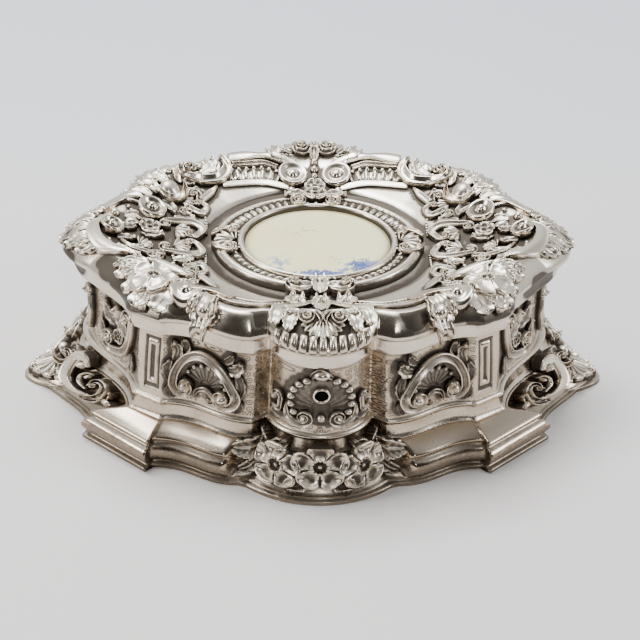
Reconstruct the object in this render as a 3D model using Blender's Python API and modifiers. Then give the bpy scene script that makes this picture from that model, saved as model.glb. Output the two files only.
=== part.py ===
"""Rococo silver jewellery casket with a lift-off lid and an oval painted plaque.

The frame is the casket's own: +Z up, X along the long side, -Y the front with the
keyhole, and the origin on the underside below the centre. Sizes are in millimetres
and become metres through MM. One plan rule makes every outline, so each moulding,
wall and lid level is a loft between plans whose corners answer one another.
"""
import bmesh
import bpy
import numpy as np
from mathutils import Vector
from mathutils.bvhtree import BVHTree

MM = 0.001
GAP = 0.3                     # clearance between two pieces that touch

# Driving dimensions, in millimetres.
RIM_HEIGHT = 1.5              # flat edge of the plinth
PLINTH_TOP = 17.7
BODY_FOOT = PLINTH_TOP + GAP
FLOOR_THICKNESS = 2.5
WALL_BOTTOM = 27.0            # top of the foot band, where the chased wall starts
BODY_TOP = 58.0
WALL = 2.4
LID_BOTTOM = BODY_TOP + GAP
BEZEL_DEPTH = 3.0             # tongue of the lid that drops inside the wall
BEZEL_WALL = 1.4
BEZEL_PLAY = 0.6
SKIRT_EDGE = 65.5
CREST = 74.5
FIELD = 66.5                  # plain polished field round the medallion
LID_SHEET = 2.5
FIELD_PLAN = (48.0, 44.0)     # half axes of the plain field
FRAME_OUTER = (44.0, 37.5)
PLAQUE_PLAN = (30.4, 26.9)
FRAME_RISE = 4.2
PLAQUE_RISE = 2.2
KEYHOLE_Z = 45.3
KEYHOLE_BORE = 2.35
KEYHOLE_RING = 3.6

# A quarter of each plan: the end's middle, its haunch, the two corners of the cut
# corner with the small ear beside each, the flank's swell, the crease and the bow.
PLANS = {
    "rim": dict(end=124.5, haunch=(113.5, 10.5), ear_out=(95.0, 40.0), corner_out=(97.5, 44.8),
                corner_in=(71.0, 69.3), ear_in=(68.5, 65.6), swell=(33.0, 78.0),
                crease=(29.5, 79.4), bow=91.3),
    "foot": dict(end=95.2, haunch=(89.0, 20.5), ear_out=(74.4, 47.4), corner_out=(73.4, 49.4),
                 corner_in=(64.0, 55.0), ear_in=(62.0, 55.0), swell=(27.0, 68.2),
                 crease=(20.4, 63.8), bow=79.0),
    "top": dict(end=93.4, haunch=(87.2, 19.6), ear_out=(72.8, 45.8), corner_out=(71.8, 47.8),
                corner_in=(62.4, 53.2), ear_in=(60.4, 53.2), swell=(26.4, 66.4),
                crease=(19.6, 62.2), bow=77.4),
    "lid": dict(end=101.5, haunch=(92.0, 19.5), ear_out=(76.2, 46.6), corner_out=(75.0, 49.0),
                corner_in=(64.0, 55.4), ear_in=(61.6, 55.2), swell=(27.6, 68.2),
                crease=(21.0, 64.8), bow=78.6),
    "skirt": dict(end=106.6, haunch=(95.0, 19.0), ear_out=(78.6, 46.6), corner_out=(76.8, 50.4),
                  corner_in=(65.4, 57.2), ear_in=(62.0, 56.6), swell=(28.4, 69.0),
                  crease=(22.0, 67.0), bow=79.8),
    "crest": dict(end=96.5, haunch=(86.0, 18.0), ear_out=(71.0, 41.0), corner_out=(69.0, 43.6),
                  corner_in=(59.6, 49.8), ear_in=(57.0, 50.4), swell=(30.0, 61.6),
                  crease=(22.0, 60.4), bow=67.5),
}
STEPS = dict(nose=3, side=3, chamfer=2, flank=6, bow=4)
QUARTER = sum(STEPS.values()) + 4

# Plinth profile as (way from the body's foot to the rim, height).
MOULDED = [(0.22, PLINTH_TOP), (0.52, 16.2), (0.72, 14.9), (0.87, 13.4), (0.80, 11.5),
           (0.96, 9.8), (1.03, 7.4), (1.00, 5.0), (0.87, 3.2), (0.87, 2.2),
           (1.00, RIM_HEIGHT), (1.00, 0.0)]
LAST_OF_SLOPE = 8             # index of the stop where the hollow slope ends
COVE_FOOT = 3.0
COVE_POWER = 1.6
CASTING_BAND = (0.34, 0.93)   # part of the slope that a casting may cover
CASTING_EDGE = 1.8            # thickness of a casting at its outline
CASTING_SEAT = 1.0            # a blank's flat underside, before the slope is cut away
CASTING_POINTS = 36           # points round a casting's outline
OVAL_POINTS = 44              # points round the medallion
TURNED_STEPS = 16             # facets of the keyhole

# Cast flowers and leaves of the garland: place along X, way down the slope, radius, rise.
GARLAND = [(0.0, 0.50, 8.6, 6.2), (17.0, 0.42, 8.2, 5.6), (-17.0, 0.42, 8.2, 5.6),
           (26.0, 0.46, 7.4, 2.6), (-26.0, 0.46, 7.4, 2.6), (11.5, 0.76, 4.8, 2.2),
           (-11.5, 0.76, 4.8, 2.2)]
# Shell, scrolls and buds of an end mount: place along X and Y, radius, rise.
MOUNT_HEART = (105.0, 0.0)
MOUNT_HALF = [(114.5, 0.0, 9.8, 4.4), (110.5, 8.5, 7.0, 3.6), (101.5, 13.0, 7.0, 8.0),
              (97.0, 22.0, 7.4, 7.0), (93.5, 28.5, 5.2, 4.6), (89.5, 32.5, 3.6, 5.4)]
MOUNT = MOUNT_HALF + [(x, -y, radius, rise) for x, y, radius, rise in MOUNT_HALF[1:]]
# Raised ornament on the lid, mirrored to all four quarters: X, Y, radius, rise.
LID_ORNAMENT = [(9.6, 49.5, 6.5, 5.6), (50.0, 48.0, 8.0, 5.0), (69.4, 19.5, 7.0, 7.4),
                (87.0, 0.0, 8.5, 5.4), (64.0, 37.0, 8.0, 6.6), (0.0, 66.0, 9.0, 4.0)]


def bezier(start, handle_a, handle_b, end, count):
    """Points of a cubic curve, with the last one left out."""
    t = (np.arange(count) / count)[:, None]
    a, b, c, d = (np.array(p, float) for p in (start, handle_a, handle_b, end))
    return a * (1 - t) ** 3 + 3 * b * t * (1 - t) ** 2 + 3 * c * t ** 2 * (1 - t) + d * t ** 3


def bow_arc(crease, bow, count):
    """Arc from the crease to the middle of the bow, its centre on the Y axis."""
    x, y = crease
    centre = (bow ** 2 - x ** 2 - y ** 2) / (2 * (bow - y))
    radius = bow - centre
    first = np.arctan2(y - centre, x)
    angle = np.linspace(first, np.pi / 2, count + 1)
    return np.stack([radius * np.cos(angle), centre + radius * np.sin(angle)], axis=1)


def plan(name):
    """Closed outline of a plan: one quarter from its named points, then mirrored."""
    p = PLANS[name]
    hx, hy = p["haunch"]
    ox, oy = p["ear_out"]
    ix, iy = p["ear_in"]
    sx, sy = p["swell"]
    nose = bezier((p["end"], 0), (p["end"], 0.42 * hy), (hx + 0.45 * (p["end"] - hx), 0.75 * hy),
                  (hx, hy), STEPS["nose"])
    lean = (np.array([ox, oy]) - (hx, hy)) / 3
    side = bezier((hx, hy), (hx + lean[0] - 1.0, hy + lean[1]), (ox - 0.25 * lean[0], oy - 1.3 * lean[1]),
                  (ox, oy), STEPS["side"])
    out, inner = np.array(p["corner_out"], float), np.array(p["corner_in"], float)
    chamfer = out + (inner - out) * (np.arange(STEPS["chamfer"]) / STEPS["chamfer"])[:, None]
    reach = ix - sx
    flank = bezier((ix, iy), (ix - 0.46 * reach, iy), (sx + 0.42 * reach, sy), (sx, sy), STEPS["flank"])
    quarter = np.vstack([nose, side, [(ox, oy)], chamfer, [inner], flank, [(sx, sy)],
                         bow_arc(p["crease"], p["bow"], STEPS["bow"])])
    left = quarter[::-1] * (-1, 1)
    half = np.vstack([quarter[:-1], left[:-1]])
    return np.vstack([half, -half])


def shrink(outline, distance):
    """The outline moved inwards by a distance, with mitred corners."""
    before = outline - np.roll(outline, 1, axis=0)
    after = np.roll(outline, -1, axis=0) - outline
    normals = [np.stack([d[:, 1], -d[:, 0]], axis=1) / np.linalg.norm(d, axis=1)[:, None]
               for d in (before, after)]
    total = normals[0] + normals[1]
    return outline - distance * total * 2 / np.sum(total ** 2, axis=1)[:, None]


def mix(first, second, way):
    """Outline or number part of the way from the first to the second."""
    return first + (second - first) * way


def oval(outline, half_axes):
    """Points of an oval at the bearings of an outline's points."""
    bearing = np.arctan2(outline[:, 1] / half_axes[1], outline[:, 0] / half_axes[0])
    return np.stack([half_axes[0] * np.cos(bearing), half_axes[1] * np.sin(bearing)], axis=1)


def level(outline, height):
    """A ring of 3-D points in millimetres from an outline and its height or heights."""
    return np.column_stack([outline, np.broadcast_to(height, len(outline))])


def loft(name, rings, loop=False):
    """A closed solid through rings of equal count, listed from the outer top downwards.

    Flat end faces close it; a looped loft joins its last ring to its first instead, as
    a frame does.
    """
    count = len(rings[0])
    points = np.vstack(rings)
    faces = []
    joins = len(rings) if loop else len(rings) - 1
    for k in range(joins):
        upper, lower = k * count, ((k + 1) % len(rings)) * count
        for i in range(count):
            j = (i + 1) % count
            faces.append((upper + i, lower + i, lower + j, upper + j))
    if not loop:
        faces.append(tuple(range(count)))
        last = (len(rings) - 1) * count
        faces.append(tuple(range(last + count - 1, last - 1, -1)))
    return new_object(name, points, faces)


def new_object(name, points, faces):
    """A named mesh object in the casket's collection, from points in millimetres."""
    mesh = bpy.data.meshes.new(name)
    mesh.from_pydata((points * MM).tolist(), [], faces)
    solid = bmesh.new()
    solid.from_mesh(mesh)
    bmesh.ops.recalc_face_normals(solid, faces=solid.faces)
    solid.to_mesh(mesh)
    solid.free()
    mesh.validate()
    made = bpy.data.objects.new(name, mesh)
    CASKET.objects.link(made)
    mesh.shade_smooth()
    mesh.set_sharp_from_angle(angle=np.radians(35))
    return made


def material(name, colour, roughness, metallic):
    """A Principled material with plain values."""
    made = bpy.data.materials.new(name)
    made.use_nodes = True
    shader = made.node_tree.nodes["Principled BSDF"]
    shader.inputs["Base Color"].default_value = (*colour, 1.0)
    shader.inputs["Roughness"].default_value = roughness
    shader.inputs["Metallic"].default_value = metallic
    return made


def bumps(x, y, ornaments):
    """Height of the tallest rounded boss over each place; zero between the bosses."""
    height = np.zeros_like(x)
    for place_x, place_y, radius, rise in ornaments:
        spread = np.hypot(x - place_x, y - place_y) / radius
        height = np.maximum(height, rise * np.sqrt(np.clip(1 - spread ** 2, 0, 1)))
    return height


def reach_of(bearings, heart, discs):
    """Distance from the heart to the far side of a cluster of discs, at each bearing."""
    direction = np.stack([np.cos(bearings), np.sin(bearings)], axis=1)
    reach = np.full(len(bearings), 1.0)
    for x, y, radius, _rise in discs:
        offset = np.array([x, y]) - heart
        along = direction @ offset
        inside = radius ** 2 - (offset @ offset - along ** 2)
        far = along + np.sqrt(np.clip(inside, 0, None))
        reach = np.where((inside > 0) & (far > reach), far, reach)
    return reach


def cove_height(way):
    """Height of the hollow slope that carries the castings, foot 0 to rim 1."""
    fall = np.clip((way - MOULDED[0][0]) / (MOULDED[LAST_OF_SLOPE][0] - MOULDED[0][0]), 0, 1)
    return COVE_FOOT + (PLINTH_TOP - COVE_FOOT) * (1 - fall) ** COVE_POWER


def way_down(x, y, axis):
    """How far a place lies from the foot (0) to the rim (1), along X or Y."""
    place = np.stack([np.abs(x), np.abs(y)], axis=-1)
    spans = []
    for name in ("foot", "rim"):
        quarter = plan(name)[:QUARTER]
        order = np.argsort(quarter[:, 1 - axis])
        spans.append(np.interp(place[..., 1 - axis], quarter[order, 1 - axis], quarter[order, axis]))
    return (place[..., axis] - spans[0]) / (spans[1] - spans[0])


def make_plinth():
    """Moulded foot: two tori on the flanks and cut corners, a hollow slope elsewhere."""
    foot, rim = plan("foot"), plan("rim")
    corner_in, ear_out = PLANS["rim"]["corner_in"], PLANS["rim"]["ear_out"]
    on_flank = (np.abs(rim[:, 0]) > 38.0) & (np.abs(rim[:, 1]) > corner_in[1] - 5.0)
    on_chamfer = (np.abs(rim[:, 1]) > ear_out[1] + 1.0) & (np.abs(rim[:, 0]) >= corner_in[0] - 3.0)
    moulded = on_flank | on_chamfer
    rings = []
    for k, (way, height) in enumerate(MOULDED):
        on_slope = k < LAST_OF_SLOPE
        slope_way = mix(MOULDED[0][0], MOULDED[LAST_OF_SLOPE][0], k / LAST_OF_SLOPE) if on_slope else way
        slope_height = cove_height(slope_way) if on_slope else min(height, COVE_FOOT)
        ways = np.where(moulded, way, slope_way)[:, None]
        rings.append(level(mix(foot, rim, ways), np.where(moulded, height, slope_height)))
    return loft("plinth", rings)


def make_body():
    """Raised box: foot band, leaning wall and an empty inside down to its floor."""
    foot, top, rim = plan("foot"), plan("top"), plan("rim")
    inside = shrink(top, WALL)
    rings = [level(inside, BODY_FOOT + FLOOR_THICKNESS), level(inside, BODY_TOP), level(top, BODY_TOP),
             level(mix(foot, top, 0.45) * 1.004, mix(WALL_BOTTOM, BODY_TOP, 0.45)),
             level(foot, WALL_BOTTOM)]
    for way, height in ((0.12, 26.4), (0.12, 25.2), (0.06, 24.4), (0.10, 20.0), (0.20, BODY_FOOT)):
        rings.append(level(mix(foot, rim, way), height))
    return loft("casket_body", rings)


def make_lid():
    """Domed shell: skirt, raised rim with bosses, sunk field, and a bezel underneath."""
    lid, skirt, crest, top = plan("lid"), plan("skirt"), plan("crest"), plan("top")
    field = oval(crest, FIELD_PLAN)
    outer = [(field, FIELD), (mix(field, crest, 0.08), 68.0), (mix(field, crest, 0.33), 69.6),
             (mix(field, crest, 0.62), 71.2), (mix(field, crest, 0.85), 73.8), (crest, CREST),
             (mix(crest, skirt, 0.42), 73.0), (mix(crest, skirt, 0.8), 69.6), (skirt, SKIRT_EDGE),
             (lid, SKIRT_EDGE - 0.9), (lid, LID_BOTTOM)]
    rings = []
    for k, (outline, height) in enumerate(outer):
        rise = bumps(np.abs(outline[:, 0]), np.abs(outline[:, 1]), LID_ORNAMENT) if 1 <= k <= 7 else 0
        rings.append(level(outline, height + rise))
    bezel = shrink(top, WALL + BEZEL_PLAY)
    lining = shrink(top, WALL + BEZEL_PLAY + BEZEL_WALL)
    rings += [level(bezel, LID_BOTTOM), level(bezel, LID_BOTTOM - BEZEL_DEPTH),
              level(lining, LID_BOTTOM - BEZEL_DEPTH), level(lining, SKIRT_EDGE),
              level(mix(field, lining, 0.55), 68.4),
              level(field * 1.02, FIELD - LID_SHEET)]
    return loft("lid", rings)


def keep_on_slope(place, axis):
    """The places moved along X or Y where they would leave the hollow slope."""
    nearest, furthest = CASTING_BAND
    way = way_down(place[:, 0], place[:, 1], axis)
    step = place.copy()
    step[:, axis] += 1.0
    per_millimetre = way_down(step[:, 0], step[:, 1], axis) - way
    place[:, axis] += (np.clip(way, nearest, furthest) - way) / per_millimetre
    return place


def ground_under(tree, place):
    """Heights of the plinth's surface below the places, found by rays from above."""
    heights = []
    for x, y in place:
        hit = tree.ray_cast(Vector((x * MM, y * MM, 1.0)), Vector((0, 0, -1)))[0]
        heights.append(hit.z / MM if hit else COVE_FOOT)
    return np.array(heights)


def make_casting(name, heart, discs, axis, side):
    """A cast cluster on the hollow slope: lobed outline, bosses above, slope below."""
    turn = np.linspace(0, 2 * np.pi, CASTING_POINTS, endpoint=False)
    spread_x = max(abs(x - heart[0]) for x, _y, _radius, _rise in discs) + discs[0][2]
    spread_y = max(abs(y - heart[1]) for _x, y, _radius, _rise in discs) + discs[0][2]
    bearings = np.arctan2(spread_y * np.sin(turn), spread_x * np.cos(turn))
    reach = reach_of(bearings, np.array(heart), discs)
    direction = np.stack([np.cos(bearings), np.sin(bearings)], axis=1)
    rings = []
    for share in (0.12, 0.42, 0.7, 0.93, 1.0):
        place = keep_on_slope(heart + direction * (reach * share)[:, None], axis)
        rise = bumps(place[:, 0], place[:, 1], discs) if share < 1.0 else 0.0
        rings.append(level(place, ground_under(PLINTH_TREE, place) + CASTING_EDGE + 0.85 * rise))
    rings.append(level(rings[-1][:, :2], CASTING_SEAT))
    for ring in rings:
        ring[:, axis] *= side
    casting = loft(name, rings)
    seat = casting.modifiers.new("Seat", "BOOLEAN")
    seat.operation = "DIFFERENCE"
    seat.solver = "EXACT"
    seat.object = SLOPE_CUTTER
    return casting


def make_slope_cutter(plinth):
    """A copy of the plinth, a little larger, that hollows the castings to its slope."""
    cutter = bpy.data.objects.new("slope_cutter", plinth.data.copy())
    cutter.scale = (1.003, 1.003, 1.0)
    cutter.location = (0, 0, 0.5 * MM)
    CUTTERS.objects.link(cutter)
    cutter.hide_render = True
    cutter.display_type = "WIRE"
    return cutter


def make_garland(name, side):
    """Three cast flowers with leaves, front or back of the plinth."""
    heart_y = mix(PLANS["foot"]["bow"], PLANS["rim"]["bow"], 0.42)
    discs = []
    for x, way, radius, rise in GARLAND:
        spans = [np.interp(abs(x), q[::-1, 0], q[::-1, 1])
                 for q in (plan(n)[:QUARTER] for n in ("foot", "rim"))]
        discs.append((x, mix(spans[0], spans[1], way), radius * 0.8, rise))
    return make_casting(name, (0.0, heart_y), discs, 1, side)


def make_keyhole():
    """Short turned barrel in the front wall, open outwards and blind inside."""
    front = PLANS["top"]["bow"] + 1.0
    profile = [(0.0, 4.6), (KEYHOLE_RING - 0.5, 4.6), (KEYHOLE_RING - 0.5, 1.0), (KEYHOLE_RING, 0.6),
               (KEYHOLE_RING, -0.6), (KEYHOLE_RING - 0.4, -1.0), (KEYHOLE_BORE, -1.0),
               (KEYHOLE_BORE, 3.6), (0.0, 3.6)]
    mesh = bpy.data.meshes.new("keyhole_barrel")
    mesh.from_pydata([(r * MM, 0, z * MM) for r, z in profile], [(i, i + 1) for i in range(8)], [])
    barrel = bpy.data.objects.new("keyhole_barrel", mesh)
    CASKET.objects.link(barrel)
    barrel.location = (0, -front * MM, KEYHOLE_Z * MM)
    barrel.rotation_euler = (np.radians(-90), 0, 0)
    screw = barrel.modifiers.new("Turn", "SCREW")
    screw.steps = screw.render_steps = TURNED_STEPS
    screw.use_merge_vertices = True
    screw.merge_threshold = 0.00005
    return barrel


def bore_keyhole(body):
    """Round hole through the front wall, a little wider than the barrel's stem."""
    bpy.ops.mesh.primitive_cylinder_add(vertices=TURNED_STEPS, radius=(KEYHOLE_RING + GAP) * MM, depth=12 * MM,
                                        location=(0, -PLANS["top"]["bow"] * MM, KEYHOLE_Z * MM),
                                        rotation=(np.radians(90), 0, 0))
    cutter = bpy.context.object
    cutter.name = "keyhole_cutter"
    for collection in list(cutter.users_collection):
        collection.objects.unlink(cutter)
    CUTTERS.objects.link(cutter)
    cutter.hide_render = True
    cutter.display_type = "WIRE"
    bore = body.modifiers.new("Keyhole", "BOOLEAN")
    bore.operation = "DIFFERENCE"
    bore.solver = "EXACT"
    bore.object = cutter


def make_frame():
    """Oval border of the plaque: half-round inner rim, sunk band and outer roll."""
    bearing = np.linspace(0, 2 * np.pi, OVAL_POINTS, endpoint=False)
    circle = np.stack([np.cos(bearing), np.sin(bearing)], axis=1)
    inner = circle * (np.array(PLAQUE_PLAN) + GAP)
    outer = circle * FRAME_OUTER
    under = FIELD + GAP
    section = [(0.0, 0.0), (0.0, 3.0), (0.12, FRAME_RISE), (0.28, 3.2), (0.62, 2.4), (0.82, 3.4),
               (1.0, 1.8), (1.0, 0.0)]
    rings = [level(mix(inner, outer, way), under + rise) for way, rise in section]
    return loft("medallion_frame", rings, loop=True)


def make_plaque():
    """Oval plaque, slightly domed."""
    bearing = np.linspace(0, 2 * np.pi, OVAL_POINTS, endpoint=False)
    circle = np.stack([np.cos(bearing), np.sin(bearing)], axis=1) * PLAQUE_PLAN
    under = FIELD + GAP
    rings = [level(circle * share, under + PLAQUE_RISE * rise)
             for share, rise in ((0.5, 1.0), (0.85, 0.82), (1.0, 0.6), (1.0, 0.0))]
    return loft("medallion_plaque", rings)


for old in list(bpy.data.objects):
    bpy.data.objects.remove(old, do_unlink=True)
CASKET = bpy.data.collections.new("silver_casket")
CUTTERS = bpy.data.collections.new("cutters")
for group in (CASKET, CUTTERS):
    bpy.context.scene.collection.children.link(group)

silver = material("oxidised silver", (0.62, 0.59, 0.54), 0.28, 1.0)
dark_silver = material("dark bore", (0.10, 0.09, 0.08), 0.5, 1.0)
ivory = material("painted ivory glaze", (0.84, 0.80, 0.68), 0.35, 0.0)

body = make_body()
bore_keyhole(body)
plinth = make_plinth()
PLINTH_TREE = BVHTree.FromObject(plinth, bpy.context.evaluated_depsgraph_get())
SLOPE_CUTTER = make_slope_cutter(plinth)
pieces = [plinth, body, make_lid(), make_frame()]
pieces += [make_garland("garland_front", -1), make_garland("garland_back", 1)]
pieces += [make_casting("end_mount_left", MOUNT_HEART, MOUNT, 0, -1),
           make_casting("end_mount_right", MOUNT_HEART, MOUNT, 0, 1)]
for piece in pieces:
    piece.data.materials.append(silver)
make_keyhole().data.materials.append(dark_silver)
make_plaque().data.materials.append(ivory)
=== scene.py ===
# %% [markdown]
# # A rococo silver casket
# The real casket is sheet silver, raised over a form and chased with punches, with
# cast flowers, shells and scrolls soldered on. Silver blackens in its hollows and is
# rubbed bright on its high places, so almost all of its look comes from relief. A
# sculptor would carve it by hand; here every form is a formula, so that it can be
# changed by changing a size, and each ornament is a small surface laid on a ground.

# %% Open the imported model
import bpy
import numpy as np
from mathutils import Matrix, Vector


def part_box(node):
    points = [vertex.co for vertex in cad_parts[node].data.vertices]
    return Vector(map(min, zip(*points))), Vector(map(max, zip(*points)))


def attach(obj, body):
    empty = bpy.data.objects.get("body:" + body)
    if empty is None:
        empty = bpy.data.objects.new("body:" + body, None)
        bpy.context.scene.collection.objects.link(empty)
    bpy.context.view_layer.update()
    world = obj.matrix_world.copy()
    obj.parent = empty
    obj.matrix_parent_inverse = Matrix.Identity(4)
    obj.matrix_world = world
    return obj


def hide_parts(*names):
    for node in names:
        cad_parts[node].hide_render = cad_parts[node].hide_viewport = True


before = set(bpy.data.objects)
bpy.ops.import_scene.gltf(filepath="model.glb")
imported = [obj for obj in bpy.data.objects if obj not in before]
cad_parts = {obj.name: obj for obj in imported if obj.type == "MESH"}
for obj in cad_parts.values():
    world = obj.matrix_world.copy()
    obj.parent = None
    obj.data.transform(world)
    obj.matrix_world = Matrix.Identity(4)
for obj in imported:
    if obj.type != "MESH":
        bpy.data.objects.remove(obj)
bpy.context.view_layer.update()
MM = 0.001

# %% [markdown]
# ## The plan
# Foot, wall, lid and rim share one rule: a bowed end, a cut corner with small ears,
# an S-shaped flank and a round bow in the middle. Only the named points of a quarter
# are given, and curves of matching counts run between them. Two plans then answer
# each other point for point, so a moulding is simply a mixture of two plans.

# %% Named points of each plan, in millimetres
PLANS = {
    "rim": dict(end=124.5, haunch=(113.5, 10.5), ear_out=(95.0, 40.0), corner_out=(97.5, 44.8),
                corner_in=(71.0, 69.3), ear_in=(68.5, 65.6), swell=(33.0, 78.0),
                crease=(29.5, 79.4), bow=91.3),
    "foot": dict(end=95.2, haunch=(89.0, 20.5), ear_out=(74.4, 47.4), corner_out=(73.4, 49.4),
                 corner_in=(64.0, 55.0), ear_in=(62.0, 55.0), swell=(27.0, 68.2),
                 crease=(20.4, 63.8), bow=79.0),
    "top": dict(end=93.4, haunch=(87.2, 19.6), ear_out=(72.8, 45.8), corner_out=(71.8, 47.8),
                corner_in=(62.4, 53.2), ear_in=(60.4, 53.2), swell=(26.4, 66.4),
                crease=(19.6, 62.2), bow=77.4),
    "lid": dict(end=101.5, haunch=(92.0, 19.5), ear_out=(76.2, 46.6), corner_out=(75.0, 49.0),
                corner_in=(64.0, 55.4), ear_in=(61.6, 55.2), swell=(27.6, 68.2),
                crease=(21.0, 64.8), bow=78.6),
    "skirt": dict(end=106.6, haunch=(95.0, 19.0), ear_out=(78.6, 46.6), corner_out=(76.8, 50.4),
                  corner_in=(65.4, 57.2), ear_in=(62.0, 56.6), swell=(28.4, 69.0),
                  crease=(22.0, 67.0), bow=79.8),
    "crest": dict(end=96.5, haunch=(86.0, 18.0), ear_out=(71.0, 41.0), corner_out=(69.0, 43.6),
                  corner_in=(59.6, 49.8), ear_in=(57.0, 50.4), swell=(30.0, 61.6),
                  crease=(22.0, 60.4), bow=67.5),
}
COUNTS = dict(nose=28, side=36, ear_out=3, chamfer=34, ear_in=5, flank=56, tuck=8, bow=36)
QUARTER = sum(COUNTS.values())
AROUND = 4 * QUARTER


def bezier(start, handle_a, handle_b, end, count):
    """Cubic curve: four points weighted by the binomial terms of t and 1 - t; no last point."""
    t = (np.arange(count) / count)[:, None]
    a, b, c, d = (np.array(p, float) for p in (start, handle_a, handle_b, end))
    return a * (1 - t) ** 3 + 3 * b * t * (1 - t) ** 2 + 3 * c * t ** 2 * (1 - t) + d * t ** 3


def line(start, end, count):
    """Points at equal steps from start towards end, which is left out."""
    t = (np.arange(count) / count)[:, None]
    return np.array(start, float) * (1 - t) + np.array(end, float) * t


def bow_arc(crease, bow, count):
    """Circle arc from the crease to the bow's middle, its centre on the Y axis."""
    x, y = crease
    centre = (bow ** 2 - x ** 2 - y ** 2) / (2 * (bow - y))
    angle = np.linspace(np.arctan2(y - centre, x), np.pi / 2, count + 1)
    return np.stack([(bow - centre) * np.cos(angle), centre + (bow - centre) * np.sin(angle)], axis=1)


def make_plan(p):
    """Quarter outline from its named points, mirrored to the whole."""
    hx, hy = p["haunch"]
    ox, oy = p["ear_out"]
    ix, iy = p["ear_in"]
    sx, sy = p["swell"]
    nose = bezier((p["end"], 0), (p["end"], 0.42 * hy), (hx + 0.45 * (p["end"] - hx), 0.75 * hy),
                  (hx, hy), COUNTS["nose"])
    lean = (np.array([ox, oy]) - (hx, hy)) / 3
    side = bezier((hx, hy), (hx + lean[0] - 1.0, hy + lean[1]), (ox - 0.25 * lean[0], oy - 1.3 * lean[1]),
                  (ox, oy), COUNTS["side"])
    reach = ix - sx
    flank = bezier((ix, iy), (ix - 0.46 * reach, iy), (sx + 0.42 * reach, sy), (sx, sy), COUNTS["flank"])
    quarter = np.vstack([nose, side, line((ox, oy), p["corner_out"], COUNTS["ear_out"]),
                         line(p["corner_out"], p["corner_in"], COUNTS["chamfer"]),
                         line(p["corner_in"], (ix, iy), COUNTS["ear_in"]), flank,
                         line((sx, sy), p["crease"], COUNTS["tuck"]),
                         bow_arc(p["crease"], p["bow"], COUNTS["bow"])])
    left = quarter[::-1] * (-1, 1)
    half = np.vstack([quarter[:-1], left[:-1]])
    return np.vstack([half, -half])


PLAN = {name: make_plan(points) for name, points in PLANS.items()}
CHAMFER_START = COUNTS["nose"] + COUNTS["side"] + COUNTS["ear_out"]
print("points round each plan:", AROUND)


# %% Small helpers for shapes
def mix(first, second, way):
    """Part of the way from the first to the second."""
    return first + (second - first) * way


def smooth(value, low, high):
    """0 below low, 1 above high, and an S-curve between them."""
    t = np.clip((value - low) / (high - low), 0, 1)
    return t * t * (3 - 2 * t)


def level(outline, height):
    """A ring of points from an outline and its height or heights."""
    return np.column_stack([outline, np.broadcast_to(height, len(outline))])


def shrink(outline, distance):
    """The outline moved inwards by a distance, with mitred corners."""
    before = outline - np.roll(outline, 1, axis=0)
    after = np.roll(outline, -1, axis=0) - outline
    sides = [np.stack([d[:, 1], -d[:, 0]], axis=1) / np.linalg.norm(d, axis=1)[:, None]
             for d in (before, after)]
    total = sides[0] + sides[1]
    return outline - distance * total * 2 / np.sum(total ** 2, axis=1)[:, None]


def through(stops, steps):
    """A smooth curve through rows of stops: each stretch is the cubic whose slope at a stop
    is half the way between its neighbours, sampled at equal steps."""
    stops = np.asarray(stops, float)
    ends = np.vstack([2 * stops[:1] - stops[1:2], stops, 2 * stops[-1:] - stops[-2:-1]])
    before, start, end, after = ends[:-3], ends[1:-2], ends[2:-1], ends[3:]
    t = (np.arange(steps) / steps)[None, :, None]
    a, b, c, d = (part[:, None] for part in (before, start, end, after))
    curve = 0.5 * (2 * b + (c - a) * t + (2 * a - 5 * b + 4 * c - d) * t ** 2
                   + (3 * b - a - 3 * c + d) * t ** 3)
    return np.vstack([curve.reshape(-1, stops.shape[1]), stops[-1:]])


def length_along(path):
    """Length from the start of the path to each of its points: the sum of its steps."""
    return np.append(0, np.cumsum(np.linalg.norm(np.diff(path, axis=0), axis=1)))


def resample(path, count):
    """The path at equal steps of its own length."""
    length = length_along(path)
    steps = np.linspace(0, length[-1], count)
    return np.stack([np.interp(steps, length, path[:, k]) for k in range(path.shape[1])], axis=1)


def tangents(path):
    """Unit directions along a path: differences of neighbours over their length."""
    direction = np.gradient(path, axis=0)
    return direction / (np.linalg.norm(direction, axis=1)[:, None] + 1e-9)


print("halfway up the S-curve:", smooth(0.5, 0.0, 1.0))

# %% [markdown]
# ## From surfaces to pieces
# Each casting is dozens of leaves, beads and scrolls, which solder makes one. Here each is
# a small closed surface in a pile, and a pile becomes one mesh. The volume that a surface
# shuts in tells whether its faces point outwards, because it is negative if they don't.

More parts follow.
